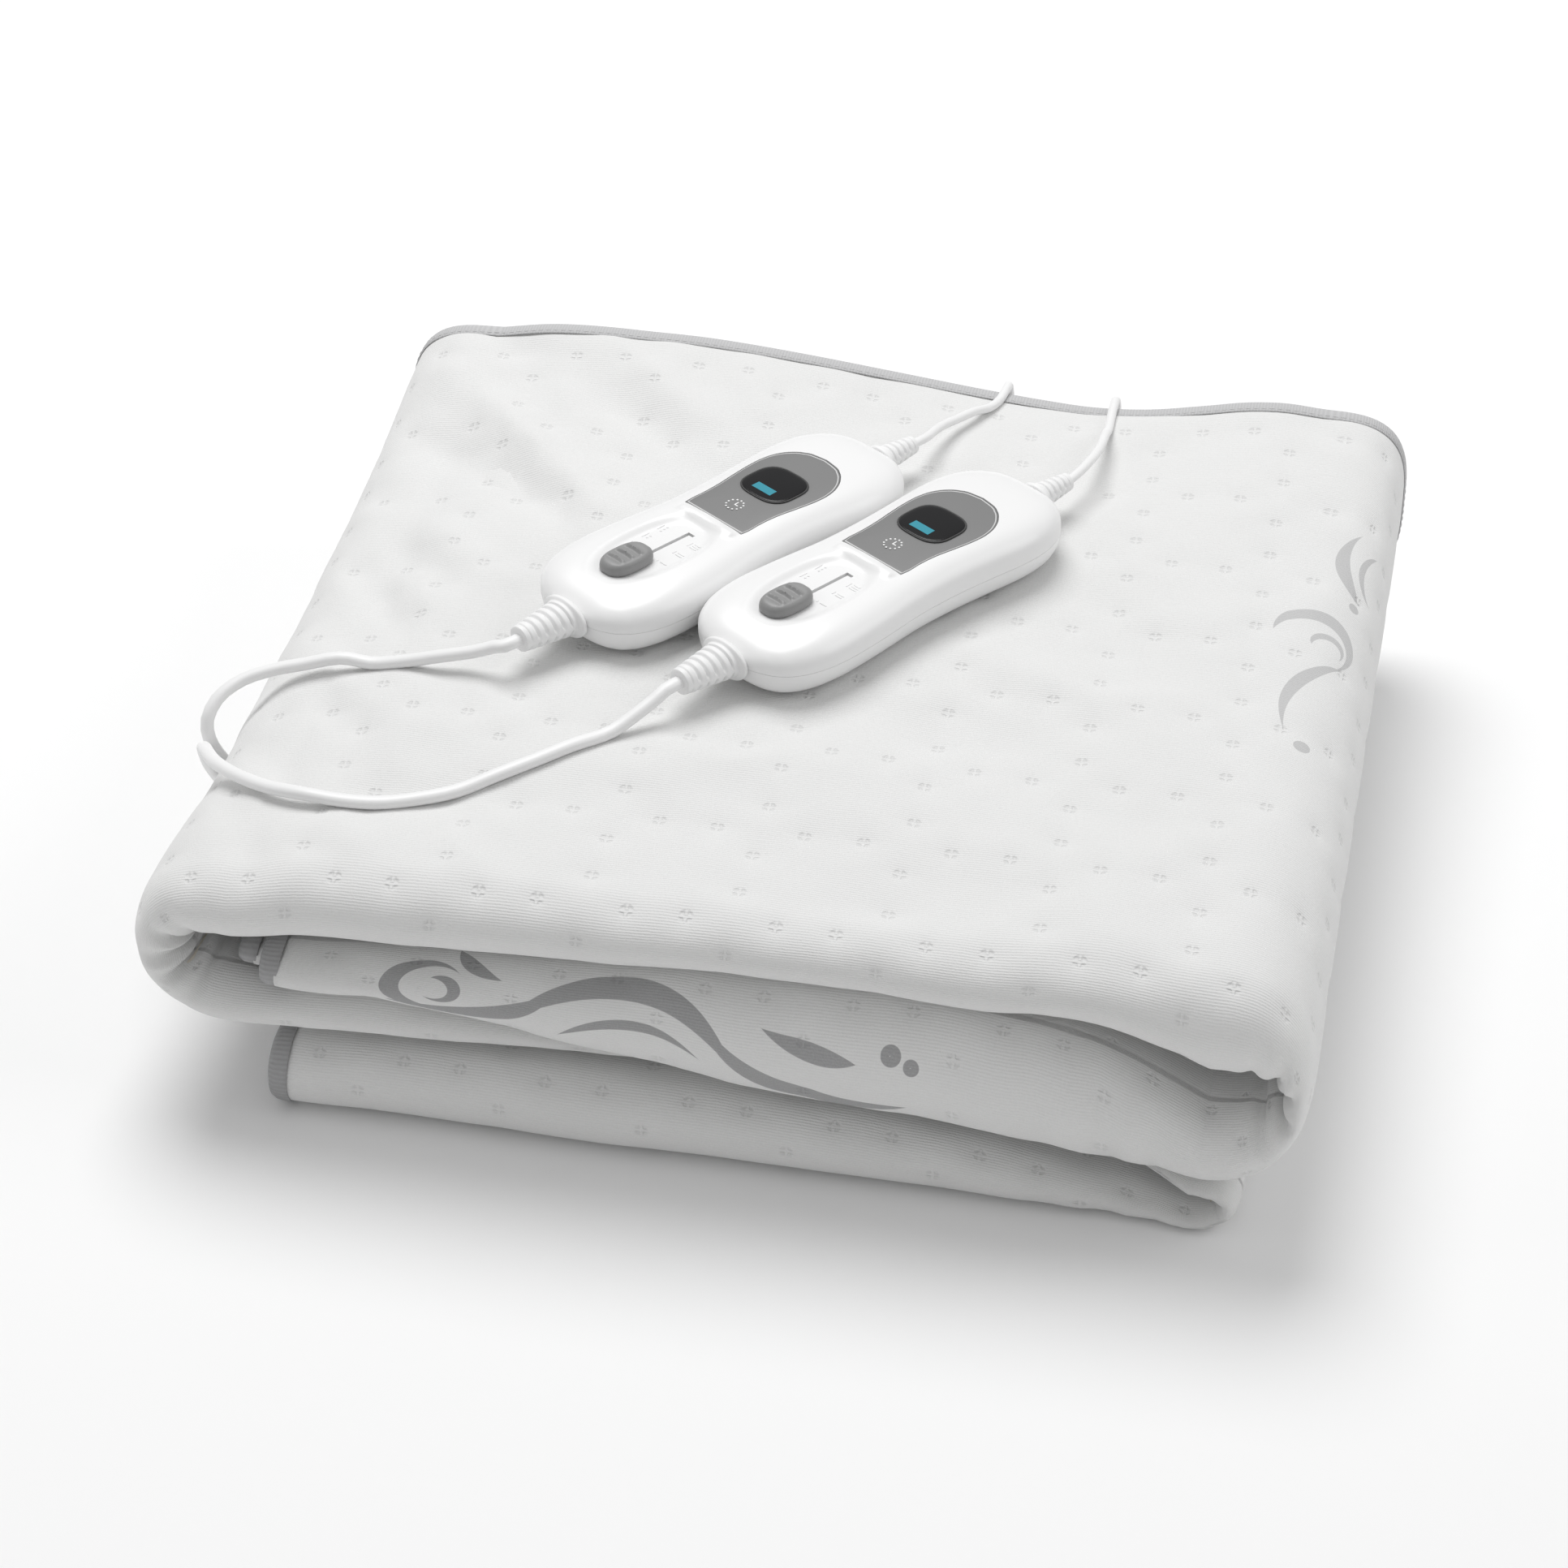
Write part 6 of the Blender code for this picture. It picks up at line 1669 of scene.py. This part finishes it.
# tapered sleeve: flange, collar, and slotted ribs joined by a spine on each side
def bootMesh(kind):
    spec, boot = bootSpec, bootSpec[kind]
    steps, length, small = spec["steps"], boot["length"], boot["small"]
    axis = bodySpec["partLine"] + spec["axis"]
    pitch = (length - spec["ribEnds"]) / boot["ribs"]
    first = spec["ribStart"]
    last = first + boot["ribs"] * pitch
    verts = []
    for i in range(spec["rings"] + 1):
        t = i / spec["rings"]
        x = length * t
        flange = math.exp(-((x - spec["flangeAt"]) / spec["flangeHalf"]) ** 4)
        end = math.sqrt(max(0.0, 1 - max(0.0, (t - spec["roundEnd"]) / (1 - spec["roundEnd"])) ** 2))
        sizes = []
        for full, waist in zip((boot["wide"], boot["tall"]), spec["waist"]):
            size = small + (full * waist - small) * (1 - t) ** spec["taper"]
            sizes.append((size + (full - size) * flange) * end + spec["least"])
        inRibs = softStep(x, *(first + v for v in spec["ribIn"]))
        inRibs *= 1 - softStep(x, *(last + v for v in spec["ribOut"]))
        groove = (0.5 + 0.5 * math.cos(math.tau * (x - first) / pitch)) ** spec["groovePower"] * inRibs
        for k in range(steps):
            c, s = math.cos(math.tau * k / steps), math.sin(math.tau * k / steps)
            cut = 1 - spec["groove"] * groove * (1 - math.exp(-(s / spec["spine"]) ** 4))
            y, z = sizes[0] / 2 * c * cut, sizes[1] / 2 * s * cut
            verts.append(Vector((boot["start"] + boot["way"] * x, y, axis + z)) * mm)
    tip = len(verts)
    faces = bandFaces(spec["rings"] + 1, steps)
    faces += fanFaces(tip, 0, steps, True) + fanFaces(tip + 1, tip - steps, steps)
    verts += [Vector((boot["start"] + boot["way"] * x, 0, axis)) * mm for x in (0, length)]
    return solidMesh("boot", verts, faces)


# dots of the timer sign, drawn by geometry nodes
def clockDots():
    spec = signSpec
    tree, given, end = shapeTree("dotRing", {"Count": "Int", "Radius": "Float", "Dot": "Float"})
    circle = addNode(tree, "GeometryNodeMeshCircle", {"Vertices": given["Count"], "Radius": given["Radius"]})
    dot = addNode(tree, "GeometryNodeMeshIcoSphere", {"Radius": given["Dot"], "Subdivisions": 2})
    scatterShape(tree, given, end, {
        "Points": circle.outputs["Mesh"], "Instance": dot.outputs["Mesh"], "Scale": spec["flatten"]})
    mesh = runNodes("clockDots", tree, {"Count": spec["dots"], "Radius": spec["radius"], "Dot": spec["dot"],
                                        "Material": inkWhite})
    x, y = spec["middle"]
    mesh.transform(Matrix.Translation(Vector((x, y, domeZ(x, y) - spec["sunk"])) * mm))
    return mesh


# bars that follow the dome: middle and half size of each, share and height of each level
def barsMesh(name, bars, levels):
    verts, faces = [], []
    for x0, y0, halfX, halfY in bars:
        base = len(verts)
        for grow, up in levels:
            for u, v in squareCorners:
                x, y = x0 + u * halfX * grow, y0 + v * halfY * grow
                verts.append(Vector((x, y, domeZ(x, y) + up)) * mm)
        top = len(verts) - 4
        faces += [tuple(range(base, base + 4))[::-1], tuple(range(top, top + 4))]
        faces += bandFaces(len(levels), 4, base)
    return solidMesh(name, verts, faces, smooth=False)


def placeMesh(mesh, side):
    cx, cy, c, s = controllerTurn(side)
    mesh.transform(Matrix(((c, -s, 0, cx), (s, c, 0, cy), (0, 0, 1, cordSpec["restHeight"]), (0, 0, 0, 1))))


# the upper housing less the plate's pocket and the slot
def carvedTop():
    spec = bodySpec
    pocket = fasciaLoop(spec["fasciaClear"])
    nearX, nearY = spec["pocketShrink"]
    deep = plateSpec["fascia"][2] + spec["pocketMore"]
    lows = [domeZ(x * nearX, y * nearY) - deep for x, y in pocket]
    top = cutMesh(shellTop(), (
        prism("pocket", pocket, lows, [spec["above"]] * len(pocket)),
        levelPrism("slot", slotLoop(*spec["slotCut"]), spec["floor"] - spec["slotDeep"], spec["above"])))
    top.shade_smooth()
    top.set_sharp_from_angle(angle=math.radians(spec["sharp"]["top"]))
    return top


def makeControllers():
    spec, window, sign = bodySpec, windowSpec, signSpec
    top, bottom = carvedTop(), shellBottom()
    loop = fasciaLoop(0.0)
    cx = sum(p[0] for p in loop) / len(loop)
    rimInner, rimOuter = ([(cx + (x - cx) * share, y * share) for x, y in loop] for share in sign["rim"])
    bezel = ringBand(windowLoop(*window["bezelOuter"]), windowLoop(*window["bezelInner"]), sign["bezelLift"])
    glass = drapedPatch("glass", windowLoop(*window["glass"]))
    mx, my = sign["middle"]
    hands = [(mx + x, my + y, halfX, halfY) for x, y, halfX, halfY in sign["hands"]]
    floorTop = spec["floor"] - spec["floorTop"]
    # a near black floor inside the slot paints the shade there
    slotFloor = levelPrism("slotFloor", slotLoop(*spec["slotFloor"]), floorTop - spec["floorThick"], floorTop)
    print("controller meshes made", len(top.polygons), len(bottom.polygons))
    # piece, mesh, material, slot, solid it replaces
    pieces = (
        ("shellTop", top, housingPlastic, "housing", "top_shell"),
        ("shellBottom", bottom, housingPlastic, "housing", "bottom_shell"),
        ("fascia", drapedPatch("fascia", loop), fasciaPlastic, "fascia", "fascia"),
        ("fasciaRim", ringBand(rimOuter, rimInner, sign["rimLift"]), fasciaPale, "fascia", None),
        ("windowGlass", glass, windowGlass, "window", "window"),
        ("windowBezel", bezel, darkPlastic, "window", None),
        ("litBar", barsMesh("litBar", [sign["bar"]], sign["barLevels"]), litTeal, "display", None),
        ("clockDots", clockDots(), inkWhite, "fascia", None),
        ("clockHands", barsMesh("hands", hands, sign["handLevels"]), inkWhite, "fascia", None),
        ("levelMarks", marksMesh(), housingPlastic, "housing", None),
        ("thumbKnob", knobMesh(), knobPlastic, "knob", "slider_knob"),
        ("mainsBoot", bootMesh("mains"), bootRubber, "boot", "mains_boot"),
        ("blanketBoot", bootMesh("blanket"), bootRubber, "boot", "blanket_boot"),
        ("slotFloor", slotFloor, slotShade, "dark_plastic", None),
    )
    for side in ("far", "near"):
        for name, mesh, mat, slotName, replaced in pieces:
            copy = mesh.copy()
            placeMesh(copy, side)
            copy.materials.clear()
            piece = addObject(f"{name}_{side}", copy, mat)
            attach(piece, f"slider_{side}" if name == "thumbKnob" else "folded_stack")
            if replaced:
                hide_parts(f"{replaced}_{side}")
    for piece in pieces:
        bpy.data.meshes.remove(piece[1])


makeControllers()

# what the frame keeps of the solids
dress = {
    "display": darkPlastic, "circuit_board": boardLaminate, "switch_body": darkPlastic,
    "case_screw": steelMetal, "plug_body": housingPlastic, "plug_pin": pinMetal, "coil_tie": tiePlastic,
    "lead_terminal": housingPlastic,
}
for name, solid in nodes.items():
    for start, mat in dress.items():
        if name.startswith(start):
            solid.data.materials.clear()
            solid.data.materials.append(mat)
